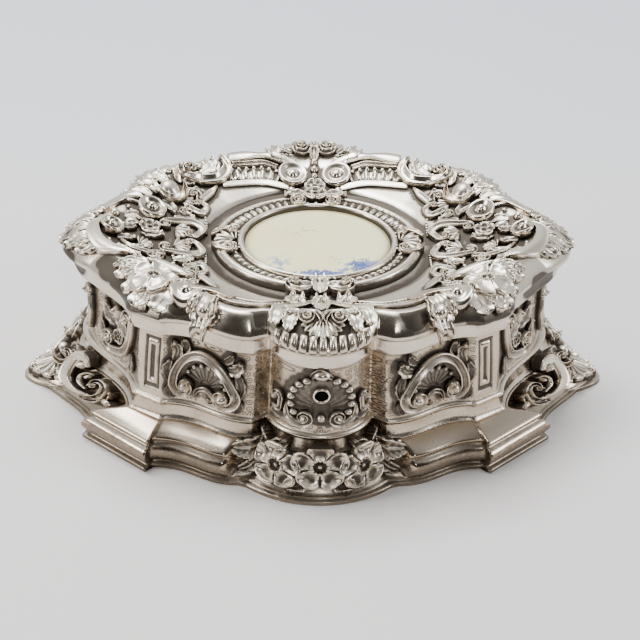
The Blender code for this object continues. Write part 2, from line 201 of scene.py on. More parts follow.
# %% Piles and pieces
class Pile:
    """Surfaces gathered for one piece: points in millimetres, faces, and each point's
    place on the ground it lies on, from which its tarnish is worked out."""

    def __init__(self):
        self.points, self.places, self.quads, self.tris, self.count = [], [], [], [], 0

    def add(self, grid, places=None, around=True, start_pole=True, end_pole=True):
        """A grid of rows (along) by columns (round). Poles close the two ends."""
        rows, columns = grid.shape[:2]
        if places is None:
            places = grid
        points, spots = grid.reshape(-1, 3), places.reshape(-1, 3)
        index = np.arange(rows * columns).reshape(rows, columns)
        wrapped = np.concatenate([index, index[:, :1]], axis=1) if around else index
        quads = np.stack([wrapped[:-1, :-1], wrapped[:-1, 1:], wrapped[1:, 1:], wrapped[1:, :-1]],
                         axis=-1).reshape(-1, 4)
        tris = []
        for pole, row, turn in ((start_pole, 0, 1), (end_pole, -1, -1)):
            if not pole:
                continue
            edge = wrapped[row]
            hub = np.full(len(edge) - 1, len(points))
            points = np.vstack([points, grid[row].mean(axis=0)])
            spots = np.vstack([spots, places[row].mean(axis=0)])
            fan = np.stack([hub, edge[1:], edge[:-1]], axis=-1)
            tris.append(fan if turn > 0 else fan[:, ::-1])
        tris = np.vstack(tris) if tris else np.zeros((0, 3), int)
        if around and signed_volume(points, quads, tris) < 0:
            quads, tris = quads[:, ::-1], tris[:, ::-1]
        self.points.append(points)
        self.places.append(spots)
        self.quads.append(quads + self.count)
        self.tris.append(tris + self.count)
        self.count += len(points)

    def merged(self):
        """All points, places, quads and triangles as four arrays."""
        return tuple(np.vstack(part) for part in (self.points, self.places, self.quads, self.tris))


def signed_volume(points, quads, tris):
    """Six times the volume inside, by the divergence rule; negative if inside out."""
    fans = np.vstack([quads[:, :3], quads[:, [0, 2, 3]], tris])
    a, b, c = (points[fans[:, k]] - points[0] for k in range(3))
    return np.einsum("ij,ij->", a, np.cross(b, c))


def make_piece(name, pile, hollow, material, replaced=()):
    """A mesh object from a pile, with its tarnish stored on the points, and in the keyhole painted black
    shade.
    """
    points, _places, quads, tris = pile.merged()
    mesh = bpy.data.meshes.new(name)
    mesh.from_pydata((points * MM).tolist(), [], quads.tolist() + tris.tolist())
    mesh.attributes.new("hollow", "FLOAT", "POINT").data.foreach_set("value", hollow.astype(np.float32))
    piece = bpy.data.objects.new(name, mesh)
    bpy.context.scene.collection.objects.link(piece)
    mesh.shade_smooth()
    mesh.materials.append(material)
    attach(piece, "root")
    if replaced:
        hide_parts(*replaced)
    print(name, "has", 2 * len(quads) + len(tris), "triangles")


print("piles and pieces are ready")

# %% [markdown]
# ## Grounds
# Every ornament is soldered or chased on some ground: the top of the lid, its hanging
# skirt, the wall or the slope of the foot. A ground turns flat places, across and up in
# millimetres with a height off the surface, into points in space. So one leaf formula
# serves everywhere, as one punch does for the silversmith.

# %% Grounds that carry ornament
class Skin:
    """A lofted surface: rows of rings with equal counts. It answers with points at any
    row and column, and lifts them along its own normals."""

    def __init__(self, rings, hold=3):
        self.grid = np.stack(rings)
        along = np.gradient(self.grid, axis=0)
        round_ = (np.roll(self.grid, -1, axis=1) - np.roll(self.grid, 1, axis=1)) / 2
        normal = np.cross(round_, along)
        for _pass in range(hold):
            normal = (normal + np.roll(normal, 1, axis=1) + np.roll(normal, -1, axis=1)) / 3
        normal /= np.linalg.norm(normal, axis=2)[..., None] + 1e-9
        middle = self.grid.mean(axis=(0, 1))
        outward = np.sign(np.sum(normal * (self.grid - middle)))
        self.normal = normal * outward
        steps = np.linalg.norm(np.roll(self.grid, -1, axis=1) - self.grid, axis=2)
        self.around = np.concatenate([np.zeros((len(rings), 1)), np.cumsum(steps, axis=1)], axis=1)
        down = np.linalg.norm(np.diff(self.grid, axis=0), axis=2)
        self.down = np.concatenate([np.zeros((1, self.grid.shape[1])), np.cumsum(down, axis=0)])

    def sample(self, values, row, column):
        """Four nearest values, weighted by nearness."""
        rows, columns = self.grid.shape[:2]
        row = np.clip(row, 0, rows - 1.001)
        r, c = row.astype(int), np.floor(column).astype(int)
        fr, fc = (row - r)[..., None], (column - c)[..., None]
        near, far = c % columns, (c + 1) % columns
        return (values[r, near] * (1 - fr) * (1 - fc) + values[r, far] * (1 - fr) * fc
                + values[r + 1, near] * fr * (1 - fc) + values[r + 1, far] * fr * fc)

    def patch(self, row, column):
        """A ground centred on that row and column: across runs with the columns and up
        runs against the rows."""
        r, c = int(row), int(column) % self.grid.shape[1]
        around, down = self.around[r], self.down[:, c]
        total = around[-1]
        columns = np.arange(len(around))

        def ground(across, up, height):
            wanted = around[c] + across
            turns = np.floor(wanted / total)
            at_column = np.interp(wanted - turns * total, around, columns) + turns * (len(around) - 1)
            at_row = np.interp(down[r] - up, down, np.arange(len(down)))
            point = self.sample(self.grid, at_row, at_column)
            lift = self.sample(self.normal, at_row, at_column)
            place = np.stack([wanted - turns * total, down[r] - up, height], axis=-1)
            return point + lift * height[..., None], place
        return ground

    def places(self, lift=0.0):
        """Every point's place as the patches give it, for the tarnish."""
        row = len(self.grid) // 2
        around = np.broadcast_to(self.around[row, :-1], self.grid.shape[:2])
        return np.stack([around, np.broadcast_to(self.down.mean(axis=1)[:, None], self.grid.shape[:2]),
                         np.broadcast_to(lift, self.grid.shape[:2])], axis=-1)


def top_ground(heights, share=1.0):
    """A ground seen from above: places are x and y, and a share of the height is added to
    heights(x, y)."""
    def ground(across, up, height):
        point = np.stack([across, up, heights(across, up) + share * height], axis=-1)
        return point, point
    return ground


print("grounds: a skin for wall, skirt and foot, and a top seen from above")

# %% [markdown]
# ## Where silver blackens
# Tarnish stays where a cloth can't reach: in every place that is lower than what stands
# round it. So the heights on one ground are drawn into a raster, the raster is blurred,
# and a point is as hollow as it lies below the blur. A fine blur finds the grooves, and a
# broad one finds the ground between the ornaments.

# %% Raster of heights
# reach and depth in millimetres, and share of the tarnish
FINE_BLUR, BROAD_BLUR = (0.7, 0.55, 0.85), (2.5, 2.0, 0.80)
EVERYWHERE = 0.06


class Relief:
    """A square raster of heights over two coordinates, from which surface heights and
    hollows are read back."""

    def __init__(self, piles, pitch=0.4):
        self.pitch = pitch
        spots = np.vstack([spot for pile in piles for spot in pile.places])
        self.low = spots[:, :2].min(axis=0) - 10 * pitch
        size = ((spots[:, :2].max(axis=0) - self.low) / pitch + 11).astype(int)
        self.height = np.full(size, -1e9)
        cell = ((spots[:, :2] - self.low) / pitch).astype(int)
        np.maximum.at(self.height, (cell[:, 0], cell[:, 1]), spots[:, 2])
        self.known = (self.height > -1e8).astype(float)
        self.height[self.known == 0] = 0

    def spread(self, reach):
        """Mean of the known heights in a box of that reach, twice over, so nearly a
        bell-shaped blur; the weights are blurred alike and divided out."""
        width = max(1, int(round(reach / self.pitch)))
        found = []
        for values in (self.height * self.known, self.known.copy()):
            for _pass in range(2):
                for axis in (0, 1):
                    padded = np.pad(values, [(width + 1, width) if k == axis else (0, 0) for k in (0, 1)])
                    total = np.cumsum(padded, axis=axis)
                    span = [slice(None), slice(None)]
                    upper, lower = list(span), list(span)
                    upper[axis], lower[axis] = slice(2 * width + 1, None), slice(None, -2 * width - 1)
                    values = (total[tuple(upper)] - total[tuple(lower)]) / (2 * width + 1)
            found.append(values)
        return found[0] / np.maximum(found[1], 1e-6)

    def hollow(self, pile):
        """How far each point lies under its surroundings: 0 on high places, 1 in the deep."""
        spots = np.vstack(pile.places)
        place = (spots[:, :2] - self.low) / self.pitch
        depth = 0
        for reach, scale, share in (FINE_BLUR, BROAD_BLUR):
            around = bilinear(self.spread(reach), place - 0.5)
            depth = depth + share * np.clip((around - spots[:, 2]) / scale + EVERYWHERE, -0.4, 1.2)
        return np.clip(depth, 0, 1)


def bilinear(raster, place):
    """Raster values between cells, weighted by nearness."""
    limit = np.array(raster.shape) - 1.001
    place = np.clip(place, 0, limit)
    cell = place.astype(int)
    f = place - cell
    x, y = cell[..., 0], cell[..., 1]
    return (raster[x, y] * (1 - f[..., 0]) * (1 - f[..., 1]) + raster[x + 1, y] * f[..., 0] * (1 - f[..., 1])
            + raster[x, y + 1] * (1 - f[..., 0]) * f[..., 1] + raster[x + 1, y + 1] * f[..., 0] * f[..., 1])


print("between two cells of 0 and 1:", bilinear(np.array([[0.0, 0.0], [1.0, 1.0]]), np.array([0.5, 0.5])))

# %% [markdown]
# ## The foot
# The real foot is a broad plinth: two half-round mouldings meet in mitres at the cut
# corners, and hollow slopes at the front, back and ends carry the castings. It is one
# loft between the foot plan and the rim plan, with one row per step of the moulding.

# %% The foot's moulding and slope
PLINTH_TOP, COVE_FOOT = 17.7, 3.0
MOULDED = [(0.22, 17.7), (0.52, 16.2), (0.72, 14.9), (0.87, 13.4), (0.80, 11.5), (0.96, 9.8),
           (1.03, 7.4), (1.00, 5.0), (0.87, 3.2), (0.87, 2.2), (1.00, 1.5), (1.00, 0.0)]
LAST_OF_SLOPE = 8
STEPS_PER_STOP = 6
FLANK_START, MITRE = 38.0, 3.0


def cove_height(way):
    """Height of the hollow slope, foot 0 to rim 1: a power curve of what is left to fall."""
    fall = np.clip((way - MOULDED[0][0]) / (MOULDED[LAST_OF_SLOPE][0] - MOULDED[0][0]), 0, 1)
    return COVE_FOOT + (PLINTH_TOP - COVE_FOOT) * (1 - fall) ** 1.6


def plinth_rings():
    """Rings from the flat top out to the rim and under it."""
    foot, rim = PLAN["foot"], PLAN["rim"]
    x, y = np.abs(rim[:, 0]), np.abs(rim[:, 1])
    on_flank = (x > FLANK_START) & (y > PLANS["rim"]["corner_in"][1] - 5.0)
    on_chamfer = (y > PLANS["rim"]["ear_out"][1] + 1.0) & (x >= PLANS["rim"]["corner_in"][0] - MITRE)
    moulded = (on_flank | on_chamfer).astype(float)
    for _pass in range(3):
        moulded = (moulded + np.roll(moulded, 1) + np.roll(moulded, -1)) / 3
    profile = through(MOULDED, STEPS_PER_STOP)
    stop = np.arange(len(profile)) / STEPS_PER_STOP
    slope_way = np.where(stop < LAST_OF_SLOPE, mix(MOULDED[0][0], MOULDED[LAST_OF_SLOPE][0],
                                                   stop / LAST_OF_SLOPE), np.minimum(profile[:, 0], 1.0))
    slope_height = np.where(stop < LAST_OF_SLOPE, cove_height(slope_way),
                            np.minimum(profile[:, 1], COVE_FOOT))
    rings = [level(foot * 0.5, PLINTH_TOP)]
    for k in range(len(profile)):
        ways = mix(slope_way[k], profile[k, 0], moulded)[:, None]
        heights = mix(slope_height[k], profile[k, 1], moulded)
        rings.append(level(mix(foot, rim, ways), heights))
    return rings + [level(rim * 0.5, 0.0)]


plinth = Pile()
plinth_skin = np.stack(plinth_rings())
plinth.add(plinth_skin)
print("plinth rings:", len(plinth_skin))

# %% [markdown]
# ## The box
# The wall is one sheet raised to the plan, with a half-round at its foot, and on the cut
# corners two nested sunk panels. Sinking them is a push inwards of those points, with
# soft edges, as a chasing tool would leave them.

# %% The wall, its foot and the sunk corner panels
BODY_FOOT, FLOOR_THICKNESS, WALL_BOTTOM, BODY_TOP, WALL = 18.0, 2.5, 27.0, 58.0, 2.4
WALL_ROWS = 64
BODY_FOOT_STOPS = [(0.0, 27.0), (0.07, 26.7), (0.12, 26.0), (0.12, 25.3), (0.05, 24.5), (0.055, 23.0),
                   (0.075, 21.4), (0.11, 19.6), (0.20, 18.0)]
PANEL_OUTER = dict(half=0.33, low=30.3, high=54.6, depth=1.1)
PANEL_ISLAND = dict(half=0.22, low=32.3, high=52.6, depth=-0.9)
PANEL_INNER = dict(half=0.10, low=34.6, high=50.4, depth=1.1)


def sunk_panel(across, height, half, low, high, depth, edge=0.45):
    """Depth of a sunk rectangle: product of two soft-edged windows."""
    side = smooth(half - np.abs(across), -0.02, 0.03)
    below_top = 1 - smooth(height, high - edge, high + edge)
    return depth * side * smooth(height, low - edge, low + edge) * below_top


def corner_share():
    """Share along the cut corner, -0.5 to 0.5, and 1 elsewhere, for every column."""
    count = COUNTS["chamfer"]
    share = np.full(QUARTER, 1.0)
    share[CHAMFER_START:CHAMFER_START + count] = np.arange(count) / count - 0.5
    quarter = np.concatenate([share, [1.0]])
    half = np.concatenate([quarter[:-1], quarter[::-1][:-1]])
    return np.concatenate([half, half])


def wall_rings():
    """Outer wall from the top edge to the foot moulding."""
    foot, top, rim = PLAN["foot"], PLAN["top"], PLAN["rim"]
    share = corner_share()
    outward = np.array(shrink(top, -1.0) - top)
    rings, sinks = [], []
    for height in np.linspace(BODY_TOP, WALL_BOTTOM, WALL_ROWS):
        way = (height - WALL_BOTTOM) / (BODY_TOP - WALL_BOTTOM)
        waist = 1 + 0.004 * np.sin(np.pi * way)
        sink = sum(sunk_panel(share, height, **panel) for panel in (PANEL_OUTER, PANEL_ISLAND, PANEL_INNER))
        rings.append(level(mix(foot, top, way) * waist - outward * sink[:, None], height))
        sinks.append(-sink)
    for way, height in through(BODY_FOOT_STOPS, 3)[1:]:
        rings.append(level(mix(foot, rim, way), height))
        sinks.append(0 * share)
    return rings, np.stack(sinks)


body = Pile()
wall_grid, wall_sinks = wall_rings()
wall_skin = Skin(wall_grid)
inside = shrink(PLAN["top"], WALL)
hidden_floor = BODY_FOOT + FLOOR_THICKNESS
body_rings = [level(inside * 0.4, hidden_floor), level(inside, hidden_floor), level(inside, BODY_TOP - 0.3),
              level(shrink(PLAN["top"], WALL - 0.3), BODY_TOP)]
body_rings += [*wall_skin.grid, level(PLAN["foot"] * 0.6, BODY_FOOT)]
body_places = np.stack(body_rings)
body_places[4:-1] = wall_skin.places(3.5 * wall_sinks)
body.add(np.stack(body_rings), body_places)
print("wall rows:", len(wall_skin.grid))

# %% [markdown]
# ## The lid
# The lid is raised from one sheet too: a sunk plain field, a rising border for the
# ornament, a crest, and a skirt that folds down over the wall. Its rows run from the
# middle outwards and down; the ornament comes later, on top.

# %% The lid's sheet
LID_BOTTOM, SKIRT_EDGE, CREST, FIELD = 58.3, 65.5, 74.5, 66.5
LID_SHEET, BEZEL_DEPTH, BEZEL_WALL, BEZEL_PLAY = 2.5, 3.0, 1.4, 0.6
FIELD_PLAN = (48.0, 44.0)


def oval(outline, half_axes):
    """Points of an oval at the bearings of an outline's points."""
    bearing = np.arctan2(outline[:, 1] / half_axes[1], outline[:, 0] / half_axes[0])
    return np.stack([half_axes[0] * np.cos(bearing), half_axes[1] * np.sin(bearing)], axis=1)


def lid_rings():
    """The border from the field to the crest, and the skirt from the crest down."""
    lid, skirt, crest = PLAN["lid"], PLAN["skirt"], PLAN["crest"]
    field = oval(crest, FIELD_PLAN)
    border = through([(0, 66.5), (0.05, 67.4), (0.12, 68.2), (0.33, 69.4), (0.62, 71.2), (0.8, 73.2),
                      (0.9, 74.3), (1.0, 74.6)], 5)
    rings = [level(mix(field, crest, way), height) for way, height in border]
    hang = through([(0, 74.6), (0.14, 74.4), (0.32, 73.6), (0.55, 71.8), (0.8, 69.4), (0.95, 67.4),
                    (1.0, 66.2), (0.97, SKIRT_EDGE)], 4)
    rings += [level(mix(crest, skirt, way), height) for way, height in hang[1:]]
    band = through([(0.9, 65.3), (0.3, 64.8), (0.02, 63.8), (0.0, 62.0), (0.0, 60.2), (0.06, 59.7),
                    (0.06, 59.2), (0.0, 58.8), (0.0, LID_BOTTOM)], 2)
    rings += [level(mix(lid, skirt, way), height) for way, height in band]
    return rings


lid_skin = Skin(lid_rings())
BORDER_ROWS = 35
lid = Pile()
field_ring = oval(PLAN["crest"], FIELD_PLAN)
bezel = shrink(PLAN["top"], WALL + BEZEL_PLAY)
lining = shrink(PLAN["top"], WALL + BEZEL_PLAY + BEZEL_WALL)
under_lid = [level(bezel, LID_BOTTOM), level(bezel, LID_BOTTOM - BEZEL_DEPTH),
             level(lining, LID_BOTTOM - BEZEL_DEPTH), level(lining, SKIRT_EDGE),
             level(mix(field_ring, lining, 0.55), 68.4), level(field_ring * 1.02, FIELD - LID_SHEET)]
plain_field = [level(field_ring * share, FIELD) for share in (0.4, 0.85)]
lid_all = np.stack([*plain_field, *lid_skin.grid, *under_lid])
lid.add(lid_all)
print("lid rows:", len(lid_all), "crest at row", BORDER_ROWS)

# %% [markdown]
# ## Punches
# A chaser owns a few dozen punches and makes everything from them. Ours are formulas:
# a moulding carried along a curve, a volute, an acanthus leaf, a flower, a shell, a
# bead. Each is a closed tube of points whose flat underside sinks into the ground, so
# its seams and poles are shut, and a mirrored copy is turned right side out again.

# %% Cross-sections: (across, height) from edge to edge
half_turn = np.linspace(np.pi, 0, 9)
ROUND = np.stack([np.cos(half_turn), np.sin(half_turn)], axis=1)
HOLLOW = np.array([(-1, 0.1), (-1, 0.8), (-0.9, 1), (-0.72, 0.95), (-0.5, 0.55), (0, 0.4), (0.5, 0.55),
                   (0.72, 0.95), (0.9, 1), (1, 0.8), (1, 0.1)])
FLAT = np.array([(-1, 0.1), (-1, 0.72), (-0.93, 0.88), (-0.84, 0.8), (-0.4, 0.92), (0, 0.96), (0.4, 0.98),
                 (0.8, 0.98), (0.92, 1.0), (1, 0.86), (1, 0.1)])
# how far each ornament's underside is sunk into its ground
SINK = 0.9


def put(pile, ground, across, up, height, mirror=(1, 1)):
    """Lays a grid of flat places on a ground, mirrored across and up as asked."""
    point, place = ground(across * mirror[0], up * mirror[1], height)
    pile.add(point, place)


def sweep(pile, ground, path, half_width, section, rise, mirror=(1, 1)):
    """A section carried along a flat path: across it lies on the path's normal, and both
    its width and its rise may change along the way."""
    tangent = tangents(path)
    normal = np.stack([-tangent[:, 1], tangent[:, 0]], axis=1)
    half_width, rise = (np.broadcast_to(value, len(path)) for value in (half_width, rise))
    offset = np.concatenate([section[:, 0], [0.9, -0.9]])
    height = np.concatenate([section[:, 1], [0, 0]])
    across = path[:, :1] + normal[:, :1] * half_width[:, None] * offset
    up = path[:, 1:] + normal[:, 1:] * half_width[:, None] * offset
    tall = rise[:, None] * height
    tall[:, -2:] = -SINK
    put(pile, ground, across, up, tall, mirror)


print("points across a moulding:", len(ROUND), len(HOLLOW), len(FLAT))

# %% Domes and beads
def dome(pile, ground, centre, radius, rise, mirror=(1, 1), rows=5, columns=10, lift=0.0, stretch=(1, 1)):
    """Half an ellipsoid: radius times sine across, rise times cosine up."""
    angle = np.linspace(0, 2 * np.pi, columns, endpoint=False)[None]
    fall = np.linspace(np.pi / 2, 0.15, rows)[:, None]
    across = centre[0] + radius * stretch[0] * np.sin(fall) * np.cos(angle)
    up = centre[1] + radius * stretch[1] * np.sin(fall) * np.sin(angle)
    height = np.broadcast_to(lift + rise * np.cos(fall), across.shape)
    foot = np.full((1, columns), -SINK)
    put(pile, ground, np.vstack([across[:1] * 0.99 + centre[0] * 0.01, across]),
        np.vstack([up[:1] * 0.99 + centre[1] * 0.01, up]), np.vstack([foot, height]), mirror)


def beads(pile, ground, path, radius, pitch, mirror=(1, 1), lift=0.0):
    """A row of beads at that pitch along a path."""
    gaps = int(round(length_along(path)[-1] / pitch))
    for centre in resample(path, max(2, gaps + 1)):
        dome(pile, ground, centre, radius, radius * 0.95, mirror, 4, 7, lift)


print("domes and beads are ready")

# %% [markdown]
# ## Scrolls
# A rococo scroll is a moulding that swings through a C or an S and winds up at its ends.
# It could be drawn as one curve by hand, but its ends would never match. So only its middle
# is drawn, and each end is a spiral turned to meet it; the moulding thins and climbs as it
# winds, as on the real ones, where the eye of the volute stands highest.

# %% Volutes and scrolls
def volute(centre, radius, towards, turns, sense, inner=0.24, count=44):
    """Points of a spiral from its outer end inwards. The radius falls by the same share
    each step, and the outer end is turned so that it meets a line from the given point."""
    away = np.array(towards, float) - centre
    distance = max(np.linalg.norm(away), radius * 1.001)
    start = np.arctan2(away[1], away[0]) + sense * np.arccos(radius / distance)
    t = np.linspace(0, 1, count)
    angle = start + sense * turns * 2 * np.pi * t
    spread = radius * inner ** t
    return np.stack([centre[0] + spread * np.cos(angle), centre[1] + spread * np.sin(angle)], axis=1), spread


def scroll(pile, ground, middle, width, rise, head=None, tail=None, mirror=(1, 1), section=HOLLOW,
           eye=0.34, grow=0.5):
    """A C- or S-scroll: a moulding through the middle points whose ends wind into volutes.
    head and tail are (centre, radius, turns, sense); an end without one tapers to a point."""
    middle = np.array(middle, float)
    parts, widths, lifts = [], [], []
    for end, neighbour in ((head, middle[0]), (tail, middle[-1])):
        if end:
            centre, radius, turns, sense = end
            path, spread = volute(np.array(centre, float), radius, neighbour, turns, sense)
            parts.append(path)
            widths.append(np.minimum(width, 0.33 * spread + 0.12 * width))
            lifts.append(1 + grow * (1 - spread / radius))
        else:
            parts.append(np.zeros((0, 2)))
            widths.append(np.zeros(0))
            lifts.append(np.zeros(0))
    stops = [p for p in (parts[0][:1], middle, parts[1][:1]) if len(p)]
    curve = through(np.vstack(stops), 8)
    count = max(6, int(length_along(curve)[-1] / 0.9))
    curve = resample(curve, count)
    t = np.linspace(0, 1, count)
    body_width = np.full(count, float(width))
    if not head:
        body_width *= 0.12 + 0.88 * smooth(t, -0.05, 0.35)
    if not tail:
        body_width *= 0.12 + 0.88 * smooth(1 - t, -0.05, 0.35)
    if head:
        body_width = mix(widths[0][0], body_width, smooth(t, -0.1, 0.5))
    if tail:
        body_width = mix(widths[1][0], body_width, smooth(1 - t, -0.1, 0.5))
    between = slice(int(bool(head)), count - int(bool(tail)))
    path = np.vstack([parts[0][::-1], curve[between], parts[1]])
    wide = np.concatenate([widths[0][::-1], body_width[between], widths[1]])
    tall = np.concatenate([lifts[0][::-1], np.ones(count)[between], lifts[1]])
    sweep(pile, ground, path, wide, section, rise * tall, mirror)
    for end in (head, tail):
        if end:
            centre, radius, _turns, _sense = end
            dome(pile, ground, centre, radius * eye, rise * (1.35 + grow), mirror, 6, 12)


def drum(pile, ground, centre, radius, rise, mirror=(1, 1), tilt=(0, 0), high_side=0.8):
    """A volute seen as a disc: a dish inside a rim that is highest at one bearing, with a
    round eye standing up in it."""
    angle = np.linspace(0, 2 * np.pi, 40, endpoint=False)[None]
    share = np.concatenate([[1.0, 1.0], np.linspace(0.98, 0.03, 20)])[:, None]
    rim_height = 0.26 + 0.10 * np.cos(angle - high_side)
    edge = rim_height * smooth(share, 0.50, 0.88) - 0.14 * smooth(share, 0.93, 1.0)
    eye = 0.50 * np.sqrt(np.clip(1 - (share / 0.36) ** 2, 0, 1))
    across = share * radius * np.cos(angle)
    up = share * radius * np.sin(angle)
    tall = rise * (0.55 + edge + eye) + tilt[0] * across + tilt[1] * up
    tall[0] = -SINK
    put(pile, ground, centre[0] + across, centre[1] + up, tall, mirror)


print("points of a volute:", len(volute((0, 0), 3.0, (5, 0), 1.0, 1)[0]))

# %% [markdown]
# ## Leaves and flowers
# An acanthus leaf is a dished strip with a rib and a lobed, standing edge; a cast flower is
# a ring of cupped petals round a beaded heart. Both could be modelled petal by petal, but
# one polar or one long surface each is enough, because silver hides the undersides.

# %% Acanthus leaves
def hem(values, spine, share):
    """Two more columns under the edges, drawn towards the spine by a share."""
    under = [mix(values[:, side], spine, share) for side in (slice(-1, None), slice(0, 1))]
    return np.concatenate([values, *under], axis=1)


def leaf(pile, ground, path, width, rise, mirror=(1, 1), lobes=4, curl=0.5, lift=0.0, rows=24, depth=0.26):
    """An acanthus leaf along a path from root to tip. Its edge swings in and out once per
    lobe and stands up round a dished middle, a rib runs along it, and the tip rolls up."""
    path = resample(through(path, 8), rows)
    t = np.linspace(0, 1, rows)
    lobe = np.abs(np.sin(np.pi * (lobes * t + 0.12)))
    half = width * np.sin(np.pi * np.clip(0.06 + 0.93 * t, 0, 1) ** 0.8) ** 0.6 * (1 - depth + depth * lobe)
    half[-1] = 0.14 * width
    a = np.array([-1, -0.93, -0.8, -0.55, -0.3, -0.1, 0, 0.1, 0.3, 0.55, 0.8, 0.93, 1])
    arch = 0.55 + 0.45 * np.sin(np.pi * (0.1 + 0.8 * t)) + curl * np.exp(-((t - 0.88) / 0.12) ** 2)
    arch = arch * np.where(t > 0.95, 0.8, 1.0)
    rib = 0.16 * np.exp(-(a / 0.12) ** 2)
    rimmed = 0.42 + 0.58 * np.abs(a) ** 2 - 0.30 * smooth(np.abs(a), 0.9, 1.0) + rib
    vein = np.cos(2 * np.pi * (lobes * t[:, None] - 0.7 * np.abs(a)))
    height = (arch[:, None] * rimmed + 0.05 * vein * smooth(np.abs(a), 0.1, 0.6)) * rise + lift
    tangent = tangents(path)
    sweep_back = 0.28 * np.abs(a)[None] * half[:, None]
    across = path[:, :1] - tangent[:, 1:] * half[:, None] * a + tangent[:, :1] * sweep_back
    up = path[:, 1:] + tangent[:, :1] * half[:, None] * a + tangent[:, 1:] * sweep_back
    tall = np.concatenate([height, np.full((rows, 2), -SINK)], axis=1)
    put(pile, ground, hem(across, path[:, :1], 0.2), hem(up, path[:, 1:], 0.2), tall, mirror)


print("leaves are ready")

# %% Flowers
def flower(pile, ground, centre, radius, rise, mirror=(1, 1), petals=5, spin=0.0, tilt=(0, 0), bowl=0.5,
           notch=0.03, lift=0.0):
    """A flower as one polar surface. Each petal is a shallow cup with a rolled rim and a
    cleft beside it; a ring of beads surrounds the sunk heart. Spin is the bearing of the
    first petal's middle."""
    columns = petals * 18
    angle = np.linspace(0, 2 * np.pi, columns, endpoint=False)[None]
    petal = (((angle - spin) * petals / (2 * np.pi) + 0.5) % 1.0 - 0.5) * 2
    edge = 1 - 0.22 * np.abs(petal) ** 3.2 - notch * np.exp(-(petal / 0.16) ** 2)
    share = np.concatenate([[0.86, 1.0], np.linspace(0.985, 0.06, 17)])[:, None]
    cleft = smooth(np.abs(petal), 0.84, 1.0) * smooth(share, 0.30, 0.55)
    cup = (1 - np.abs(petal) ** 2.5) * np.sin(np.pi * np.clip((share - 0.26) / 0.72, 0, 1) ** 1.2)
    rolled = 0.30 * smooth(share, 0.90, 1.0)
    well = 0.30 * (1 - smooth(share, 0.2, 0.28))
    height = 0.55 + 0.45 * share ** 1.2 - bowl * 0.72 * cup - 0.55 * cleft - rolled - well
    across = share * edge * radius * np.cos(angle)
    up = share * edge * radius * np.sin(angle)
    tall = lift + rise * height + tilt[0] * across + tilt[1] * up
    tall[0] = -SINK
    tall[1] -= 0.12 * rise
    put(pile, ground, centre[0] + across, centre[1] + up, tall, mirror)
    dome(pile, ground, centre, radius * 0.10, rise * 0.30, mirror, 4, 8, lift + rise * 0.28)
    for bearing in np.arange(12) * np.pi / 6:
        spot = (centre[0] + 0.27 * radius * np.cos(bearing), centre[1] + 0.27 * radius * np.sin(bearing))
        dome(pile, ground, spot, radius * 0.062, rise * 0.22, mirror, 3, 6, lift + rise * 0.55)


print("flowers are ready")

# %% Shells and ribbed strips
def shell(pile, ground, hinge, bearing, radius, spread, ribs, rise, mirror=(1, 1), inner=0.14, scallop=0.12,
          dish=0.0, clear=None):
    """A fan of ribs round a hinge: cosine ribs across the bearing, a swelling profile
    along the radius, and a scalloped rim; it stays low within the clear radius of 0, 0."""
    columns = ribs * 7 + 1
    t = np.linspace(-1, 1, columns)[:, None]
    wave = 0.5 + 0.5 * np.cos(2 * np.pi * ribs * (t / 2 + 0.5) + np.pi)
    share = np.concatenate([[inner], np.linspace(inner, 1, 11), [0.97]])[None]
    reach = radius * (1 - scallop * (1 - wave)) * (1 - 0.12 * t ** 2)
    profile = 0.35 + 0.65 * np.sin(np.pi * np.clip(share, 0, 1) * 0.72) ** 1.2 - dish * np.sin(np.pi * share)
    height = rise * profile * (0.58 + 0.42 * wave ** 0.8)
    angle = np.radians(bearing) + t * np.radians(spread) / 2
    across = hinge[0] + reach * share * np.cos(angle)
    up = hinge[1] + reach * share * np.sin(angle)
    if clear:
        height = height * smooth(np.hypot(across, up), 0.8 * clear, 1.7 * clear) - 0.2
    height[:, 0] = -SINK
    height[:, -1] = -SINK
    put(pile, ground, across, up, height, mirror)


def strip(pile, ground, path, half_width, rise, pitch, mirror=(1, 1), deep=0.6, twist=0.0, sharp=1.0):
    """A ribbed band: the rise swings once per pitch along the path; a twist slants the
    ribs like the strands of a rope, and a sharper power makes them thin."""
    length = length_along(path)[-1]
    count = max(8, int(length / pitch * 8))
    path = resample(path, count)
    tangent = tangents(path)
    a = np.linspace(-1, 1, 7)
    step = np.linspace(0, length, count)[:, None]
    wave = (0.5 + 0.5 * np.cos(2 * np.pi * (step / pitch + twist * a))) ** sharp
    height = rise * (1 - deep * (1 - wave)) * np.sqrt(1 - 0.5 * a ** 2)
    across = path[:, :1] - tangent[:, 1:] * half_width * a
    up = path[:, 1:] + tangent[:, :1] * half_width * a
    tall = np.concatenate([height, np.full((count, 2), -SINK)], axis=1)
    put(pile, ground, hem(across, path[:, :1], 0.0), hem(up, path[:, 1:], 0.0), tall, mirror)


QUARTERS = [(1, 1), (-1, 1), (1, -1), (-1, -1)]
BACK, FRONT = [(1, 1), (-1, 1)], [(1, -1), (-1, -1)]
print("punches are ready, and ornament repeats in", len(QUARTERS), "quarters")

# %% [markdown]
# ## Ornament on the lid
# Seen from above, the lid is nearly the same in each quarter: broad flat bands run along
# the crest and wind into volutes, C-scrolls open outwards with a dark leaf inside, buds
# and drums stand up, and small rocailles edge the plain field. The front half trades its
# buds for flowers. One quarter is laid out in millimetres and mirrored.

# %% The top of the lid as ground
sheet_relief = Relief([lid], pitch=1.0)
border_heights = sheet_relief.spread(1.5)


